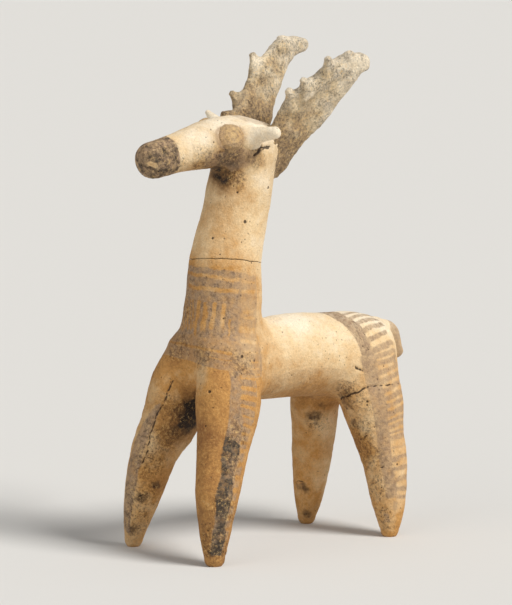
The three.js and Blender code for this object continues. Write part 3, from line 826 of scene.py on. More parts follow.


# How the slip has fared, and where shade is painted: by limb, degrees, mm along, share of bare ochre clay,
# share of dirt and painted shade
WEAR_AND_SHADE = (
    (trunk, [
        (285, 20, 0, 0), (285, 50, 0.05, 0), (300, 75, 0.1, 0), (325, 35, 0.18, 0), (350, 20, 0.35, 0),
        # From 378 degrees round, the trunk's underside is darker: rough ochre clay and painted shade
        (350, 40, 0.3, 0), (378, 15, 0.5, 0.05), (378, 35, 0.35, 0), (400, 25, 0.65, 0.05),
        (430, 25, 0.8, 0.2), (450, 40, 0.8, 0.2), (340, 68, 0.4, 0), (360, 75, 0.5, 0),
    ]),
    (neck, [
        # The rows near 285 to 290 degrees and 95 to 100 mm paint the shade at the throat, under the jaw
        (315, 62, 0.48, 0), (330, 80, 0.4, 0), (270, 62, 0.36, 0), (262, 82, 0.28, 0),
        (240, 70, 0.5, 0.05), (350, 70, 0.3, 0), (350, 95, 0.1, 0), (290, 100, 0.5, 0.15),
        (322, 92, 0.5, 0), (310, 53, 0.62, 0), (310, 45, 0.6, 0), (280, 30, 0.85, 0.05),
        (310, 30, 0.6, 0), (270, 12, 0.8, 0.05), (310, 12, 0.6, 0), (270, -2, 0.6, 0),
        (360, 20, 0.5, 0.05), (360, 45, 0.5, 0), (250, 45, 0.8, 0), (180, 60, 0.4, 0), (90, 70, 0.3, 0),
        (420, 60, 0.2, 0), (285, 95.5, 0.8, 1.5),
    ]),
    (foreleg_left, [
        (95, 8, 0.4, 0), (60, 10, 0.85, 0), (60, 35, 0.8, 0), (60, 60, 0.85, 0.05),
        (60, 82, 0.85, 0.45), (60, 95, 0.7, 0.4), (90, 45, 0.95, 0.15), (0, 20, 0.7, 0),
        (0, 60, 0.7, 0.05), (-40, 50, 0.6, 0.1), (0, 92, 0.7, 0.35), (180, 50, 0.8, 0.2),
        (20, 97, 0.7, 0.4),
    ]),
    (foreleg_right, [
        # The dark rows at -25 to 38 degrees and 24 to 38 mm paint the shadow on the inner face between the
        # forelegs
        (55, 18, 0.6, 0), (62, 45, 0.45, 0), (88, 40, 0.5, 0), (80, 70, 0.45, 0), (5, 24, 0.9, 1.6),
        (0, 32, 0.9, 1.8), (20, 38, 0.9, 0.5), (38, 30, 0.8, 0.1), (-25, 34, 0.6, 0.2),
        (0, 60, 0.75, 0.1), (50, 88, 0.5, 0.05), (-20, 42, 0.5, 0), (180, 50, 0.6, 0.1),
        (10, 80, 0.6, 0.05),
    ]),
    (hindleg_left, [
        (66, 12, 0.6, 0), (64, 26, 0.35, 0), (70, 50, 0.55, 0), (90, 30, 0.9, 0.3), (40, 75, 0.45, 0),
        (-20, 15, 0.5, 0), (-20, 40, 0.55, 0), (-20, 60, 0.55, 0), (0, 78, 0.8, 0.1),
        (180, 40, 0.8, 0.2),
    ]),
    (hindleg_right, [
        (0, 25, 0.3, 0), (0, 50, 0.3, 0), (45, 35, 0.6, 0.05), (80, 35, 0.55, 0), (60, 50, 0.65, 0),
        (60, 66, 0.65, 0), (15, 15, 0.7, 0.25), (0, 80, 0.6, 0.1), (180, 40, 0.6, 0.1),
    ]),
    (head, [
        # The dark rows at 312 to 330 degrees are dirt on the jaw and painted shade beneath it
        (360, 45, 0.08, 0), (390, 45, 0, 0), (420, 30, 0, 0), (450, 20, 0.1, 0), (330, 30, 0.8, 1),
        (312, 30, 0.8, 1.7), (322, 46, 0.7, 0.4), (350, 52, 0.25, 0), (390, 12, -0.1, 0),
        (370, 14, 0.1, 0), (345, 12, 0.6, 0.3), (400, 62, 0.4, 0),
    ]),
)
WEAR_AND_SHADE_SPOTS = spots(WEAR_AND_SHADE)
WEAR_AND_SHADE_REACH = 7.0


def body_wear_and_shade(p):
    """Shares of bare clay and of dirt with painted shade: the given spots, each weighted by one over
    the square of its squared distance plus the reach squared."""
    total = np.zeros((len(p), 2))
    weights = np.zeros(len(p))
    for point, values in WEAR_AND_SHADE_SPOTS:
        weight = 1 / (((p - point) ** 2).sum(axis=1) + WEAR_AND_SHADE_REACH**2) ** 2
        total += weight[:, None] * np.array(values, float)
        weights += weight
    return total / weights[:, None]


# Pits left by burnt-out grit: by limb, degrees, mm along, radius
PITS = (
    (neck, [
        (348, 16, 0.8), (368, 13.8, 0.7), (361, 18.5, 0.4), (322, 31.3, 0.5), (367, 55, 0.5),
        (291, 62, 0.7), (341, 71.6, 0.9), (317, 85, 0.6), (380, 90.8, 0.8), (309, 56.5, 0.5),
        (318, 47.5, 0.4), (297, 81.5, 0.35),
    ]),
    (foreleg_left, [
        (75, 20.5, 0.9), (55, 18, 0.45), (68, 32, 0.45), (83, 42.5, 0.55), (9, 2, 0.8),
        (-28, 2.7, 0.45),
    ]),
    (hindleg_left, [
        (47, 13.2, 0.7), (49, 14.6, 0.6), (56, 22.4, 0.45), (45, 25, 0.4), (67, 28.4, 0.5),
        (72, 28.8, 0.5), (6, 44, 0.6),
    ]),
    (trunk, [
        (368, 64, 0.5), (327, 53.5, 0.4), (374, 46.8, 0.6), (352, 24, 0.35), (360, 30, 0.35),
        (371, 27, 0.4), (376, 33, 0.35),
    ]),
    (head, [
        (374, 38.3, 0.5), (407, 37, 0.45), (391, 41, 0.4),
    ]),
)
PIT_SPOTS = spots(PITS)

# Stains of soot and earth, and spots of painted shade: by limb, degrees, mm along, radius
STAINS_AND_SHADE = (
    (hindleg_right, [
        (40, 21.5, 4.4), (28, 17, 3.2), (64, 57.5, 2.8), (78, 57.5, 2.2), (44, 77, 2),
    ]),
    (foreleg_right, [
        (36, 65.5, 2.2), (50, 67, 2.6), (58, 89, 3.4), (5, 61, 2.4),
    ]),
    (foreleg_left, [
        (30, 91, 3.4), (60, 96, 3), (26, 62, 2.4), (24, 69, 3), (24, 76, 3), (30, 84, 2.4),
    ]),
    # Painted shade in the crease where the left haunch meets the belly
    (hindleg_left, [
        (88, 12, 3.4), (88, 22, 3),
    ]),
    (trunk, [
        (404, 43, 2.2),
    ]),
    # Most of the head's spots are dirt on the jaw and painted shade beneath it
    (head, [
        (352, 12, 2.8), (293, 36, 2.8), (304, 32, 2.6), (306, 40, 2.8), (302, 47, 2.2), (322, 24, 3.4),
        (322, 67, 4.6),
    ]),
    # Painted shadow at the throat, under the jaw
    (neck, [
        (276, 96.5, 2.4), (287, 95.4, 2.8), (299, 94.4, 2.6), (312, 93, 1.8),
    ]),
)
STAIN_AND_SHADE_SPOTS = spots(STAINS_AND_SHADE)
STAIN_AND_SHADE_SHARE = 0.72

# Drying cracks and scratches: by limb, half width, depth, corners of degrees and mm along
CRACKS = (
    (foreleg_right, [
        (0.5, 0.9, [(57, 11.5), (60, 15), (62, 18), (61, 22), (63, 25.5), (66, 28), (68, 31)]),
        (0.45, 0.9, [(68, 31), (67, 35), (67, 38), (65, 42), (60, 46), (59, 51), (60, 55)]),
        (0.35, 0.6, [(30, 65.3), (43, 66.2), (56, 67.8)]),
        (0.3, 0.4, [(38, 51.3), (50, 51.3)]),
    ]),
    (foreleg_left, [
        (0.35, 0.5, [(118, 5), (104, 9), (96, 13), (100, 17), (96, 22)]),
    ]),
    (hindleg_left, [
        (0.42, 0.7, [(-50, 10), (-20, 9.4), (8, 8.8), (24, 8.2), (40, 7.8)]),
        (0.5, 0.9, [(40, 7.8), (55, 8.7), (70, 9.4), (85, 10), (100, 10.6)]),
        (0.35, 0.5, [(47, 44.4), (58, 44.6)]),
    ]),
    (hindleg_right, [
        (0.3, 0.6, [(60, 54.2), (78, 54.2), (95, 55)]),
    ]),
    (head, [
        (0.9, 1, [(361, 4), (355, 8.5), (352, 11), (347, 13), (342, 15)]),
    ]),
    (trunk, [
        (0.3, 0.4, [(387, 22.7), (393, 22.7)]),
        (0.5, 0.8, [(370, 44.2), (373, 45.6), (375, 48.6)]),
    ]),
)
CRACK_LINES = [
    (half, depth, np.array([on_skin(limb, turn, s) for turn, s in corners]))
    for limb, rows in CRACKS
    for half, depth, corners in rows
]

# Small random pits: cell, radius and its spread, share of cells that hold one, depth and soft edge
GRIT_CELL = 2.8
GRIT_RADIUS = 0.18
GRIT_SPREAD = 0.3
GRIT_SHARE = 0.11
GRIT_SHARE_POROUS = 0.5
GRIT_DEPTH = 0.35
GRIT_EDGE = (-0.3, 0.2)
GRIT_PLACE_SEEDS = (21, 22, 23)
GRIT_SIZE_SEED = 24
GRIT_HELD_SEED = 25

# How far the clay slopes in round a pit and a crack, and the soft edges of stains and painted shade, soot
# and grit
PIT_LIP = 0.25
CRACK_LIP = 0.45
STAIN_AND_SHADE_EDGE = (-0.4, 0.7)
SOOTY = (0.9, 1)
BARE_GRIT = (0.4, 0.9)
BARE_GRIT_SHARE = 0.3

# Where the clay is porous: by limb, degrees, mm along, radius
POROUS = (
    (hindleg_left, [
        (66, 13, 9), (74, 26, 10), (78, 39, 9), (80, 52, 8), (76, 66, 7), (40, 76, 5),
    ]),
    (foreleg_right, [
        (32, 26, 10), (34, 40, 11), (38, 54, 11), (42, 67, 11), (48, 82, 10),
    ]),
    (foreleg_left, [
        (14, 44, 7), (12, 56, 8), (16, 70, 9), (24, 88, 10),
    ]),
    (trunk, [
        (400, 42, 6),
    ]),
    (head, [
        (335, 30, 9), (330, 44, 8), (345, 14, 7), (330, 64, 11), (380, 66, 11), (300, 70, 9),
    ]),
    (neck, [
        (312, 94, 6), (250, 16, 8), (300, 14, 8), (345, 12, 9), (250, 34, 8),
    ]),
    (hindleg_right, [
        (36, 24, 6),
    ]),
)
POROUS_SPOTS = spots(POROUS)
POROUS_CORE = 1.25
POROUS_FADE = 0.8


def porosity(p):
    """How porous the clay is: 1 near the given spots, fading to 0 with a ragged edge."""
    porous = np.zeros(len(p))
    ragged = layered(p, POROUS_RAGGED)
    for point, (radius,) in POROUS_SPOTS:
        inside = POROUS_CORE - np.linalg.norm(p - point, axis=1) / radius + ragged
        porous = np.maximum(porous, smooth(inside, 0, POROUS_FADE))
    return porous


def grit_pits(p):
    """Signed distance inside small random pits: one in nine cells holds a ball of clay burnt out,
    and up to three in five where the clay is porous."""
    held_share = GRIT_SHARE + GRIT_SHARE_POROUS * porosity(p)
    base = np.floor(p / GRIT_CELL)
    best = np.full(len(p), FAR_OUTSIDE)
    for corner in range(27):
        cell = base + np.array([corner % 3 - 1, corner // 3 % 3 - 1, corner // 9 - 1])
        middle = np.stack([lattice(cell, seed) for seed in GRIT_PLACE_SEEDS], axis=1)
        size = GRIT_RADIUS + GRIT_SPREAD * lattice(cell, GRIT_SIZE_SEED)
        distance = np.linalg.norm(p - (cell + middle) * GRIT_CELL, axis=1)
        held = lattice(cell, GRIT_HELD_SEED) < held_share
        best = np.where(held, np.maximum(best, size - distance), best)
    return best


def flaws(p):
    """Signed distance inside pits and cracks, and how deep they cut."""
    edge = grit_pits(p)
    depth = GRIT_DEPTH * smooth(edge, *GRIT_EDGE)
    for point, (radius,) in PIT_SPOTS:
        inside = radius - np.linalg.norm(p - point, axis=1)
        edge = np.maximum(edge, inside)
        depth = np.maximum(depth, radius * smooth(inside, -PIT_LIP, radius))
    moved = p + np.stack([layered(p, layers) for layers in CRACK_WANDER], axis=1)
    swell = layered(p, CRACK_SWELL)
    for half, cut, line in CRACK_LINES:
        near = np.full(len(p), np.inf)
        for a, b in zip(line, line[1:]):
            share = np.clip((moved - a) @ (b - a) / ((b - a) @ (b - a)), 0, 1)
            near = np.minimum(near, np.linalg.norm(moved - a - share[:, None] * (b - a), axis=1))
        inside = half * (1 + swell) - near
        edge = np.maximum(edge, inside)
        depth = np.maximum(depth, cut * smooth(inside, -CRACK_LIP, half))
    return edge, depth


def body_relief(p):
    """How far the hand-worked surface stands from the plain form: broad unevenness, finger marks
    along the trunk, coarse grit where it is porous, and the pits and cracks cut into it."""
    relief = layered(p, UNEVEN) + layered(p * FINGER_STRETCH, FINGER_MARKS)
    relief += porosity(p) * (layered(p, POROUS_GRIT) + layered(p * LAYER_STRETCH, POROUS_LAYERS))
    return relief - BODY_SINK - flaws(p)[1]


def body_marks(p):
    """All that the material reads, in one table of numbers per point."""
    edge, strength = body_paint(p)
    bare, dirt = body_wear_and_shade(p).T
    blot = layered(p, STAIN_AND_SHADE_BLOTS)
    # Stains, and spots of painted shade, raise the dirt share
    for point, (radius,) in STAIN_AND_SHADE_SPOTS:
        inside = 1 - np.linalg.norm(p - point, axis=1) / radius + blot
        dirt = np.maximum(dirt, STAIN_AND_SHADE_SHARE * smooth(inside, *STAIN_AND_SHADE_EDGE))
    return {
        "paint": edge,
        "strength": strength * (1 + smooth(strength, *SOOTY) * layered(p, SOOT_PATCHES)),
        "bare": bare,
        "dirt": dirt,
        "grit": np.maximum(porosity(p), BARE_GRIT_SHARE * smooth(bare, *BARE_GRIT)),
        "dark": flaws(p)[0],
    }


def grid_faces(rows, around):
    """Quads of a grid that goes round in its columns, as an index array."""
    first = np.arange(rows)[:, None] * around + np.arange(around)[None, :]
    here = first[:-1]
    above = first[1:]
    return np.stack([here, np.roll(here, -1, 1), np.roll(above, -1, 1), above], -1).reshape(-1, 4)


def close_grid(points):
    """Flat vertex list and faces of a closed skin: inner rows as they are, each end row one pole."""
    rows, around = points.shape[:2]
    inner = points[1:-1].reshape(-1, points.shape[2])
    poles = np.stack([points[0].mean(0), points[-1].mean(0)])
    quads = grid_faces(rows - 2, around)
    here = np.arange(around)
    after = (here + 1) % around
    start = len(inner)
    last = (rows - 3) * around
    fan_start = np.stack([after, here, np.full(around, start)], -1)
    fan_end = np.stack([last + here, last + after, np.full(around, start + 1)], -1)
    return np.vstack([inner, poles]), quads, np.vstack([fan_start, fan_end])


def surface_normals(vertices, quads, fans):
    """Vertex normals: two crossed edges or diagonals of each face at a vertex, summed."""
    normals = np.zeros_like(vertices)
    for faces, (a, b, c, d) in ((quads, (0, 2, 1, 3)), (fans, (0, 1, 0, 2))):
        first = vertices[faces[:, b]] - vertices[faces[:, a]]
        crossed = np.cross(first, vertices[faces[:, d]] - vertices[faces[:, c]])
        for k in range(faces.shape[1]):
            np.add.at(normals, faces[:, k], crossed)
    return normals / np.maximum(np.linalg.norm(normals, axis=1, keepdims=True), 1e-12)


def build_mesh(name, shells, marks):
    """One mesh from closed shells of (vertices, quads, fans), in drawing millimetres. Marks are
    numbers kept on the vertices."""
    loops = []
    starts = []
    count = 0
    corner = 0
    for points, *kinds in shells:
        for faces in kinds:
            loops.append((faces + count).ravel())
            starts.append(corner + np.arange(len(faces)) * faces.shape[1])
            corner += faces.size
        count += len(points)
    low, high = (np.array(edge) / MM for edge in CAD_BOX)
    vertices = np.clip(np.vstack([shell[0] for shell in shells]) + SHIFT, low, high) * MM
    loops = np.concatenate(loops)
    starts = np.concatenate(starts)
    mesh = bpy.data.meshes.new(name)
    mesh.vertices.add(len(vertices))
    mesh.vertices.foreach_set("co", vertices.ravel())
    mesh.loops.add(len(loops))
    mesh.loops.foreach_set("vertex_index", loops.astype(np.int32))
    mesh.polygons.add(len(starts))
    mesh.polygons.foreach_set("loop_start", starts.astype(np.int32))
    mesh.polygons.foreach_set("use_smooth", np.ones(len(starts), bool))
    mesh.update(calc_edges=True)
    mesh.validate()
    for key, values in marks.items():
        mark = mesh.attributes.new(key, "FLOAT", "POINT")
        mark.data.foreach_set("value", values.astype(np.float32))
    return mesh


def worked(points, relief):
    """A skin pushed along its normals by its relief, soles kept on the floor. The grid then holds
    six numbers per point: the pushed place and the plain place."""
    vertices, quads, fans = close_grid(points)
    normals = surface_normals(vertices, quads, fans)
    inner = points.shape[0] - 2
    push = normals * relief(vertices)[:, None]
    grid = points.copy()
    grid[1:-1] += push[:-2].reshape(inner, points.shape[1], 3)
    grid[0] = grid[0].mean(axis=0) + push[-2]
    grid[-1] = grid[-1].mean(axis=0) + push[-1]
    grid[..., 2] = np.maximum(grid[..., 2], 0)
    return np.concatenate([grid, points], axis=2)


# The neck's break: a point on it, its slope across and along, half its gap, the rings of its faces
# as shares of the rim, and how far and how squarely their middle is set in
BREAK_RISE = 51.7
BREAK_MIDDLE = np.array([0.0, -22.0, TRUNK_HEIGHT + BREAK_RISE])
BREAK_SLOPE = np.array([0.113, -0.150, 0.0])
BREAK_GAP = 0.13
BREAK_DISC = (0.985, 0.94, 0.8, 0.6, 0.4, 0.2, 0.0)
BREAK_HOLLOW = 0.9
BREAK_BOWL = 8


def break_height(p):
    """Height of the break at each point: a cut that rises to the front left and wanders by half a
    millimetre."""
    rise = (p - BREAK_MIDDLE) @ BREAK_SLOPE
    return BREAK_MIDDLE[2] + rise + layered(p * ACROSS, BREAK_WANDER)


def broken(points):
    """The two parts of a skin below and above the break, each closed by its own broken face."""
    rows, around = points.shape[:2]
    over = points[..., 2] > break_height(points[..., :3].reshape(-1, 3)).reshape(rows, around)
    row = np.argmax(over, axis=0)
    column = np.arange(around)
    here = points[row - 1, column]
    there = points[row, column]
    level = break_height(here[:, :3])
    parts = []
    for sign in (-1, 1):
        share = np.clip((level + sign * BREAK_GAP - here[:, 2]) / (there[:, 2] - here[:, 2]), -1, 2)
        cut = row - 1 + share
        middle = int(np.median(row))
        if sign < 0:
            place = np.linspace(0, 1, middle)[:, None] * cut[None, :]
        else:
            place = cut[None, :] + np.linspace(0, 1, rows - middle)[:, None] * (rows - 1 - cut)[None, :]
        low = np.clip(np.floor(place).astype(int), 0, rows - 2)
        w = (place - low)[..., None]
        part = points[low, column] * (1 - w) + points[low + 1, column] * w
        rim = part[-1] if sign < 0 else part[0]
        centre = rim.mean(axis=0)
        discs = np.array([centre + (rim - centre) * size for size in BREAK_DISC])
        hollow = BREAK_HOLLOW * (1 - np.array(BREAK_DISC) ** BREAK_BOWL)
        discs[..., 2] += sign * hollow[:, None]
        parts.append(np.concatenate([part, discs] if sign < 0 else [discs[::-1], part]))
    return parts


def clay_piece(node, grids, material, marks=body_marks):
    """Puts a piece of one or more worked skins in the scene, in place of its node, with the numbers
    that its material reads."""
    shells = [close_grid(grid) for grid in grids]
    plain = np.vstack([points[:, 3:] for points, _, _ in shells])
    shells = [(points[:, :3], quads, fans) for points, quads, fans in shells]
    mesh = build_mesh(node + "_clay", shells, marks(plain))
    mesh.materials.append(material)
    piece = bpy.data.objects.new(mesh.name, mesh)
    bpy.context.collection.objects.link(piece)
    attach(piece, "root")
    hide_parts(node)


def linear(hex_colour):
    """sRGB hex to the linear values a shader takes."""
    parts = [int(hex_colour[k : k + 2], 16) / 255 for k in (1, 3, 5)]
    return tuple(c / 12.92 if c <= 0.04045 else ((c + 0.055) / 1.055) ** 2.4 for c in parts)


# Noise textures of the clay: grain in millimetres, detail and roughness. They serve the broad
# blotches, the middle ones, the grain, the streaks and lumps of the paint, and porous clay.
GRAINS = ((24, 3, 0.5), (5, 6, 0.6), (0.9, 3, 0.65), (3.2, 5, 0.62), (2.1, 6, 0.72), (1.5, 5, 0.8))
SPECK_CELL = 2.3
TINTS = {
    "earth": "#6E4E2E",
    # The black earth also gives the painted shade at the throat and between the forelegs
    "black earth and shade": "#2C2018",
    "soot": "#54483A",
    "thick paint": "#33251B",
    "lit grain": "#E6BD78",
    "shadowed grain": "#3A2A1A",
    "pit": "#2A1A10",
}

# Shares and gains of the patterns, in the order in which the clay's layers use them
BLOTCH_BROAD = 0.45
BLOTCH_MIDDLE = 0.5
DIRT_AND_SHADE_GAIN = 1.9
PAINT_RAGGED = 2.2
SPECK_FEW = 0.86
SPECK_SHARE = 0.55
PIT_SHARE = 0.85
CLAY_ROUGHNESS = 0.85
CLAY_IOR = 1.45
GRAIN_HEIGHT = 0.6
BUMP_DISTANCE = 0.0009
BUMP_STRENGTH = 0.9
SPECKLE_LIGHT = 0.4
POROUS_GAIN = 0.8
POROUS_LEAST = 0.18
MATH = "ShaderNodeMath"
RANGE = "ShaderNodeMapRange"
MIX = "ShaderNodeMix"
NOISE = "ShaderNodeTexNoise"


class FigurineSettings(bpy.types.PropertyGroup):
    """Colours and sizes that a user would change."""

    slip: FloatVectorProperty(
        name="Slip",
        description="Buff slip over the clay",
        subtype="COLOR",
        default=linear("#F7E7CB"),
    )
    clay: FloatVectorProperty(
        name="Clay",
        description="Ochre clay where the slip is thin",
        subtype="COLOR",
        default=linear("#C99350"),
    )
    paint: FloatVectorProperty(
        name="Paint",
        description="Worn purple-brown paint",
        subtype="COLOR",
        default=linear("#A78A6C"),
    )
    key_light: FloatProperty(
        name="Key light", description="Strength of the main lamp", default=3.1, min=0.0
    )
    floor_size: FloatProperty(
        name="Floor", description="Width of the floor", default=30.0, min=1.0, unit="LENGTH"
    )


def add_node(tree, kind, inputs=None, **settings):
    """Adds a node. Inputs are values, sockets or nodes by name or number, where a node stands for
    its first output. Settings are the node's own fields."""
    node = tree.nodes.new(kind)
    for key, value in settings.items():
        setattr(node, key, value)
    for key, value in (inputs or {}).items():
        if isinstance(value, bpy.types.Node):
            value = value.outputs[0]
        if isinstance(value, bpy.types.NodeSocket):
            tree.links.new(value, node.inputs[key])
        else:
            node.inputs[key].default_value = value
    return node


def new_material(name):
    """An empty node material with its shader and its tree."""
    material = bpy.data.materials.new(name)
    material.use_nodes = True
    tree = material.node_tree
    tree.nodes.clear()
    shader = add_node(tree, "ShaderNodeBsdfPrincipled")
    add_node(tree, "ShaderNodeOutputMaterial", {"Surface": shader.outputs["BSDF"]})
    return material, tree, shader


def clay_material(name, tones, paint, speckle):
    """Unglazed low-fired clay under a thin slip, painted and worn, made once and then shared. The
    tones run from whole slip to bare clay, and speckle is how strongly the grain shows. Dirt with
    painted shade, paint, grains with painted highlights and painted shade, and pits are mixed over
    the clay in that order, each by its own share."""
    if name in bpy.data.materials:
        return bpy.data.materials[name]
    material, tree, shader = new_material(name)
    place = add_node(tree, "ShaderNodeTexCoord").outputs["Object"]
    textures = [
        {"Vector": place, "Scale": 1 / (size * MM), "Detail": detail, "Roughness": roughness}
        for size, detail, roughness in GRAINS
    ]
    broad, middle, grain, streak, lumps, fine = (add_node(tree, NOISE, inputs) for inputs in textures)
    cells = add_node(tree, "ShaderNodeTexVoronoi", {"Vector": place, "Scale": 1 / (SPECK_CELL * MM)})
    bare, dirt, edge, strength, dark, grit = (
        add_node(tree, "ShaderNodeAttribute", attribute_name=key).outputs["Fac"]
        for key in ("bare", "dirt", "paint", "strength", "dark", "grit")
    )
    tints = {key: (*linear(colour), 1) for key, colour in TINTS.items()}

    # Slip to clay, blotched at hand and finger scale
    blotch = add_node(tree, MATH, {0: broad, 1: BLOTCH_BROAD, 2: bare}, operation="MULTIPLY_ADD")
    blotch = add_node(tree, MATH, {0: middle, 1: BLOTCH_MIDDLE, 2: blotch}, operation="MULTIPLY_ADD")
    mean = (BLOTCH_BROAD + BLOTCH_MIDDLE) / 2
    blotch = add_node(tree, MATH, {0: blotch, 1: mean}, operation="SUBTRACT")
    ramp = add_node(tree, "ShaderNodeValToRGB", {"Fac": blotch})
    elements = ramp.color_ramp.elements
    elements[0].color = (*tones[0], 1)
    elements[1].color = (*tones[-1], 1)
    for k, tone in enumerate(tones[1:-1], 1):
        elements.new(k / (len(tones) - 1)).color = (*tone, 1)
    lightest = 1 + SPECKLE_LIGHT * speckle
    shade = add_node(tree, RANGE, {0: grain, 1: 0.3, 2: 0.7, 3: 1 - speckle, 4: lightest})
    base = add_node(tree, "ShaderNodeVectorMath", {0: ramp, "Scale": shade}, operation="SCALE").outputs[0]

    # Dirt that has settled in hollows, and painted shade at the throat, under the jaw and between
    # the forelegs, black where there is most of it
    spread = add_node(tree, MATH, {0: middle, 1: dirt}, operation="MULTIPLY")
    spread = add_node(tree, MATH, {0: spread, 1: DIRT_AND_SHADE_GAIN}, operation="MULTIPLY", use_clamp=True)
    black = add_node(tree, RANGE, {0: spread, 1: 0.35, 2: 0.95})
    soil_and_shade = {0: black, 6: tints["earth"], 7: tints["black earth and shade"]}

    # Paint with ragged edges, rubbed off in streaks and sooty where it is strongest
    ragged = add_node(tree, MATH, {0: grain, 1: PAINT_RAGGED, 2: edge}, operation="MULTIPLY_ADD")
    cover = add_node(tree, RANGE, {0: ragged, 1: 0.7, 2: 1.6}, interpolation_type="SMOOTHSTEP")
    rubbed = add_node(tree, RANGE, {0: streak, 1: 0.36, 2: 0.66, 3: 1.15, 4: 0.55})
    cover = add_node(tree, MATH, {0: cover, 1: strength}, operation="MULTIPLY")
    cover = add_node(tree, MATH, {0: cover, 1: rubbed}, operation="MULTIPLY", use_clamp=True)
    sooty = add_node(tree, RANGE, {0: strength, 1: 0.92, 2: 1.15})
    tone = {0: sooty, 6: (*paint, 1), 7: tints["soot"]}

    # Thick grains of the paint, nearly black
    thick = add_node(tree, RANGE, {0: lumps, 1: 0.47, 2: 0.63})
    heavy = add_node(tree, RANGE, {0: strength, 1: 0.68, 2: 1.08, 3: 0.2})
    for share in (cover, heavy):
        thick = add_node(tree, MATH, {0: thick, 1: share}, operation="MULTIPLY")

    # Painted highlights and painted shade on the coarse grains where the clay is porous
    rough = {0: grit, 1: POROUS_GAIN, 2: POROUS_LEAST}
    rough = add_node(tree, MATH, rough, operation="MULTIPLY_ADD", use_clamp=True)
    lit = add_node(tree, RANGE, {0: fine, 1: 0.46, 2: 0.38, 4: 0.6})
    shadowed = add_node(tree, RANGE, {0: fine, 1: 0.5, 2: 0.6, 4: 0.66})
    lit, shadowed = (
        add_node(tree, MATH, {0: grains, 1: rough}, operation="MULTIPLY")
        for grains in (lit, shadowed)
    )

    # Dark grit in a few of the cells, pits and cracks
    speck = add_node(tree, RANGE, {0: cells, 1: 0.24, 2: 0.12, 4: SPECK_SHARE})
    picked = add_node(tree, "ShaderNodeSeparateColor", {"Color": cells.outputs["Color"]})
    picked = add_node(tree, MATH, {0: picked, 1: SPECK_FEW}, operation="GREATER_THAN")
    speck = add_node(tree, MATH, {0: speck, 1: picked}, operation="MULTIPLY")
    pit = {0: dark, 1: -0.12, 2: 0.18, 4: PIT_SHARE}
    pit = add_node(tree, RANGE, pit, interpolation_type="SMOOTHSTEP")
    mark = add_node(tree, MATH, {0: speck, 1: pit}, operation="MAXIMUM")

    # Each share mixes its own colour over all that is below it
    soil_and_shade, tone = (add_node(tree, MIX, mix, data_type="RGBA").outputs[2] for mix in (soil_and_shade, tone))
    for share, colour in (
        (spread, soil_and_shade),
        (cover, tone),
        (thick, tints["thick paint"]),
        (lit, tints["lit grain"]),
        (shadowed, tints["shadowed grain"]),
        (mark, tints["pit"]),
    ):
        base = add_node(tree, MIX, {0: share, 6: base, 7: colour}, data_type="RGBA").outputs[2]
    tree.links.new(base, shader.inputs["Base Color"])
    shader.inputs["Roughness"].default_value = CLAY_ROUGHNESS
    shader.inputs["IOR"].default_value = CLAY_IOR
    height = add_node(tree, MATH, {0: grain, 1: GRAIN_HEIGHT}, operation="MULTIPLY")
    height = add_node(tree, MATH, {0: fine, 1: grit, 2: height}, operation="MULTIPLY_ADD")
    bump = {"Height": height, "Distance": BUMP_DISTANCE, "Strength": BUMP_STRENGTH}
    bump = add_node(tree, "ShaderNodeBump", bump)
    tree.links.new(bump.outputs["Normal"], shader.inputs["Normal"])
    return material


def body_material():
    """Cream slip worn to ochre clay, with purple-brown paint: gives the animal its light body."""
    settings = bpy.context.scene.figurine
    tones = [settings.slip[:], linear("#EACB9C"), settings.clay[:], linear("#9A6633")]
    return clay_material("buff_slip_over_terracotta", tones, settings.paint[:], speckle=0.16)


def antler_material():
    """Grey-brown paint rubbed to pale clay on the edges: sets the antlers off from the head."""
    tones = [linear(colour) for colour in ("#F8E8CC", "#EDD6AF", "#D3B386", "#97774F")]
    return clay_material("rubbed_grey_brown_clay", tones, linear("#7A6753"), speckle=0.4)


def eye_material():
    """A pale pellet inside a painted ring: gives the eye its round look."""
    settings = bpy.context.scene.figurine
    tones = [linear("#E6CCA0"), linear("#D2AF7C"), settings.clay[:], linear("#8F5E30")]
    return clay_material("painted_pellet_clay", tones, settings.paint[:], speckle=0.2)


class FIGURINE_OT_trunk(bpy.types.Operator):
    """Make the barrel-shaped trunk"""

    bl_idname = "figurine.trunk"
    bl_label = "Trunk"

    def execute(self, context):
        field = body_field(trunk, (neck, foreleg_left, foreleg_right, trunk, hindleg_left, hindleg_right))
        grid = worked(skin(trunk, field, reach=8.0), body_relief)
        clay_piece("trunk", [grid], body_material())
        return {"FINISHED"}


class FIGURINE_OT_neck(bpy.types.Operator):
    """Make the neck in its two broken lengths"""

    bl_idname = "figurine.neck"
    bl_label = "Neck"

    def execute(self, context):
        field = body_field(neck, (neck, foreleg_left, foreleg_right, head, trunk))
        lower, upper = broken(worked(skin(neck, field), body_relief))
        clay_piece("neck_lower", [lower], body_material())
        clay_piece("neck_upper", [upper], body_material())
        return {"FINISHED"}


class FIGURINE_OT_legs(bpy.types.Operator):
    """Make the four cone legs"""

    bl_idname = "figurine.legs"
    bl_label = "Legs"

    def execute(self, context):
        front = (neck, foreleg_left, foreleg_right, trunk)
        rear = (trunk, hindleg_left, hindleg_right)
        for name, limb, near in (
            ("foreleg_left", foreleg_left, front),
            ("foreleg_right", foreleg_right, front),
            ("hindleg_left", hindleg_left, rear),
            ("hindleg_right", hindleg_right, rear),
        ):
            grid = worked(skin(limb, body_field(limb, near), reach=5.0), body_relief)
            clay_piece(name, [grid], body_material())
        return {"FINISHED"}


class FIGURINE_OT_head(bpy.types.Operator):
    """Make the head and its muzzle"""

    bl_idname = "figurine.head"
    bl_label = "Head"

    def execute(self, context):
        grid = worked(skin(head, body_field(head, (neck, head))), body_relief)
        clay_piece("head", [grid], body_material())
        return {"FINISHED"}


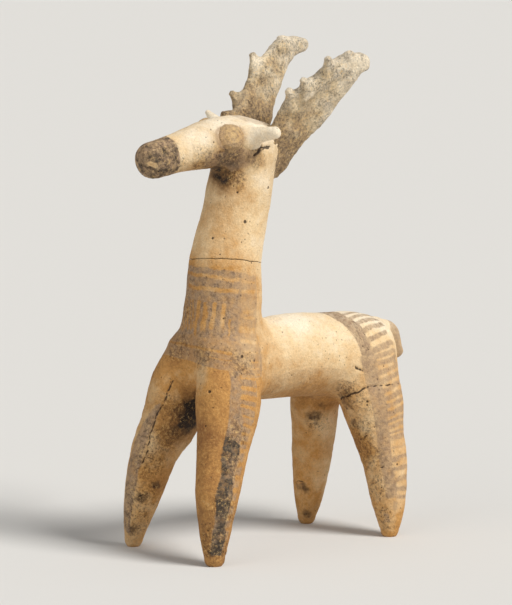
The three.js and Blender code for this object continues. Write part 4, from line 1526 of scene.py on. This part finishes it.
def small_relief(p):
    """Unevenness of the small applied lumps."""
    return layered(p, SMALL_UNEVEN) - SMALL_SINK


def ear_marks(limb):
    """The head's own marks at the root, and almost whole slip from there to the tip."""

    def marks(p):
        table = body_marks(p)
        root = 1 - smooth(limb.locate(p)[0], *EAR_ROOT)
        for key in ("strength", "dirt", "grit"):
            table[key] = table[key] * root
        table["bare"] = np.minimum(table["bare"], 0.04 + 0.5 * root)
        return table

    return marks


def eye_marks(limb):
    """A painted rim and a ring inside it, by the distance from the middle of the pellet."""

    def marks(p):
        radius = limb.locate(p)[2]
        ring = EYE_STROKE - np.abs(radius - EYE_INNER)
        values = {"strength": 0.6, "bare": 0.35, "dirt": 0.05, "grit": 0.55, "dark": FAR_OUTSIDE}
        table = {key: np.full(len(p), value) for key, value in values.items()}
        table["paint"] = np.maximum(radius - EYE_RIM, ring) + layered(p, EYE_RAGGED)
        return table

    return marks


def antler_marks(limb, worn):
    """Paint rubbed off towards the tips and on the slab's edges, and overall by the share worn."""

    def marks(p):
        t, turn, _, _ = limb.locate(p)
        edge = smooth(np.abs(np.sin(np.radians(turn))), *SLAB_EDGE)
        places = np.stack([np.ones(len(p)), 1 - smooth(t, *ANTLER_ROOT), smooth(t, *ANTLER_TIP), edge])
        table = {key: np.array(shares) @ places for key, shares in ANTLER_MARKS.items()}
        for key, layers in ANTLER_NOISE.items():
            table[key] += layered(p, layers) - worn
        table["dirt"] = np.zeros(len(p))
        table["dark"] = grit_pits(p)
        return table

    return marks


class FIGURINE_OT_face(bpy.types.Operator):
    """Make the ears and the pellet eyes"""

    bl_idname = "figurine.face"
    bl_label = "Ears and eyes"

    def execute(self, context):
        for name, limb in (("ear_left", ear_left), ("ear_right", ear_right)):
            grid = worked(skin(limb, small_field(limb, MELT["ear"]), 3.0, *FACE_GRID), small_relief)
            clay_piece(name, [grid], body_material(), ear_marks(limb))
        for name, limb in (("eye_left", eye_left), ("eye_right", eye_right)):
            grid = worked(skin(limb, small_field(limb, MELT["eye"]), 1.0, *FACE_GRID), small_relief)
            clay_piece(name, [grid], eye_material(), eye_marks(limb))
        return {"FINISHED"}


class FIGURINE_OT_antlers(bpy.types.Operator):
    """Make the flat antlers with their pinched tines"""

    bl_idname = "figurine.antlers"
    bl_label = "Antlers"

    def execute(self, context):
        for name, parts, worn in (
            ("antler_left", antler_left, LEFT_ANTLER_WORN),
            ("antler_right", antler_right, 0.0),
        ):
            field = small_field(parts[0], MELT["antler"], parts[1:])
            grids = [worked(skin(parts[0], field, 3.0, *ANTLER_GRID), antler_relief)]
            grids += [worked(skin(tine, field, 1.5, *TINE_GRID), antler_relief) for tine in parts[1:]]
            clay_piece(name, grids, antler_material(), antler_marks(parts[0], worn))
        return {"FINISHED"}


def antler_relief(p):
    """Pinched and pitted surface of the antlers."""
    return layered(p, ANTLER_UNEVEN) - ANTLER_SINK - GRIT_DEPTH * smooth(grit_pits(p), *GRIT_EDGE)


class FIGURINE_OT_tail(bpy.types.Operator):
    """Make the small tail"""

    bl_idname = "figurine.tail"
    bl_label = "Tail"

    def execute(self, context):
        field = small_field(tail, MELT["tail"], host=(trunk, hindleg_left, hindleg_right))
        grid = worked(skin(tail, field, 3.0, *TAIL_GRID), small_relief)
        clay_piece("tail", [grid], body_material(), tail_marks)
        return {"FINISHED"}


def tail_marks(p):
    """Brown paint on the end of the tail, over the body's own marks."""
    marks = body_marks(p)
    inside, weight = lay_on(TAIL_PAINT, *unrolled(tail, p, -180))
    marks["paint"] = np.maximum(marks["paint"], inside)
    marks["strength"] = np.maximum(marks["strength"], weight)
    return marks


# Camera of the photograph: view from 50 degrees round and 8 up, drawing millimetres
CAMERA_RIGHT = np.array([0.6428, 0.7660, 0.0])
CAMERA_UP = np.array([-0.1066, 0.0895, 0.9903])
CAMERA_BACK = np.array([0.7586, -0.6365, 0.1392])
CAMERA_DISTANCE = 2400
CAMERA_AIM = CAMERA_RIGHT * -2.75 + CAMERA_UP * 120
LENS = 285.6
SENSOR = 36

# Lamps: where the light comes from, and their width in degrees
KEY_LAMP = ((0.65, 0.24, 0.75), 24)
FILL_LAMP = ((0.1, -1.0, 0.3), 60)
FILL_SHARE = 0.2
SKY_COLOUR = (0.93, 0.94, 0.96, 1)
SKY_STRENGTH = 0.35
FLOOR_COLOUR = "#D9D6D0"
FLOOR_ROUGHNESS = 0.9


class FIGURINE_OT_stage(bpy.types.Operator):
    """Make the floor, the lights and the camera"""

    bl_idname = "figurine.stage"
    bl_label = "Stage"

    def execute(self, context):
        settings = context.scene.figurine
        self.add_floor(settings)
        self.add_lamp("key", *KEY_LAMP, settings.key_light)
        self.add_lamp("fill", *FILL_LAMP, settings.key_light * FILL_SHARE)
        self.add_world(context)
        self.add_camera(context)
        return {"FINISHED"}

    def add_floor(self, settings):
        """A pale square floor about the origin."""
        half = settings.floor_size / 2
        corners = [(-half, -half, 0), (half, -half, 0), (half, half, 0), (-half, half, 0)]
        mesh = bpy.data.meshes.new("floor")
        mesh.from_pydata(corners, [], [(0, 1, 2, 3)])
        material, _, shader = new_material("pale_floor_paint")
        shader.inputs["Base Color"].default_value = (*linear(FLOOR_COLOUR), 1)
        shader.inputs["Roughness"].default_value = FLOOR_ROUGHNESS
        mesh.materials.append(material)
        floor = bpy.data.objects.new("floor", mesh)
        bpy.context.collection.objects.link(floor)

    def add_lamp(self, name, towards, softness, strength):
        """A far lamp that lights evenly from one direction; softness is its width in degrees."""
        lamp = bpy.data.lights.new(name, "SUN")
        lamp.angle = math.radians(softness)
        lamp.energy = strength
        holder = bpy.data.objects.new(name, lamp)
        back = unit(np.array(towards))
        side = unit(np.cross([0, 0, 1], back))
        holder.matrix_world = matrix_of(side, np.cross(back, side), back, back)
        bpy.context.collection.objects.link(holder)

    def add_world(self, context):
        """An even, dim sky."""
        world = bpy.data.worlds.new("plain_studio")
        context.scene.world = world
        world.use_nodes = True
        background = world.node_tree.nodes["Background"]
        background.inputs["Color"].default_value = SKY_COLOUR
        background.inputs["Strength"].default_value = SKY_STRENGTH

    def add_camera(self, context):
        """The photograph's camera: its aim, moved back along its own axis by the distance."""
        data = bpy.data.cameras.new("camera")
        data.lens = LENS
        data.sensor_fit = "VERTICAL"
        data.sensor_height = SENSOR
        data.clip_end = 100
        camera = bpy.data.objects.new("camera", data)
        place = (CAMERA_AIM + CAMERA_BACK * CAMERA_DISTANCE + SHIFT) * MM
        camera.matrix_world = matrix_of(CAMERA_RIGHT, CAMERA_UP, CAMERA_BACK, place)
        bpy.context.collection.objects.link(camera)
        context.scene.camera = camera


def matrix_of(x, y, z, place):
    """A placing matrix from three axes and a point."""
    rows = np.eye(4)
    rows[:3] = np.stack([x, y, z, place], axis=1)
    return [tuple(row) for row in rows.T]


class FIGURINE_PT_panel(bpy.types.Panel):
    """The figurine's settings and pieces"""

    bl_label = "Terracotta stag figurine"
    bl_idname = "FIGURINE_PT_panel"
    bl_space_type = "VIEW_3D"
    bl_region_type = "UI"
    bl_category = "Figurine"

    def draw(self, context):
        settings = context.scene.figurine
        for name in ("slip", "clay", "paint", "key_light", "floor_size"):
            self.layout.prop(settings, name)
        for operator in OPERATORS:
            self.layout.operator(operator.bl_idname)


OPERATORS = (
    FIGURINE_OT_trunk,
    FIGURINE_OT_neck,
    FIGURINE_OT_legs,
    FIGURINE_OT_head,
    FIGURINE_OT_face,
    FIGURINE_OT_antlers,
    FIGURINE_OT_tail,
    FIGURINE_OT_stage,
)
CLASSES = (FigurineSettings, *OPERATORS, FIGURINE_PT_panel)


def register():
    for cls in CLASSES:
        bpy.utils.register_class(cls)
    bpy.types.Scene.figurine = PointerProperty(type=FigurineSettings)


def unregister():
    del bpy.types.Scene.figurine
    for cls in reversed(CLASSES):
        bpy.utils.unregister_class(cls)


def main():
    register()
    bpy.ops.figurine.trunk()
    bpy.ops.figurine.neck()
    bpy.ops.figurine.legs()
    bpy.ops.figurine.head()
    bpy.ops.figurine.face()
    bpy.ops.figurine.antlers()
    bpy.ops.figurine.tail()
    bpy.ops.figurine.stage()
    bpy.context.scene.view_settings.view_transform = "Standard"


if __name__ == "__main__":
    main()
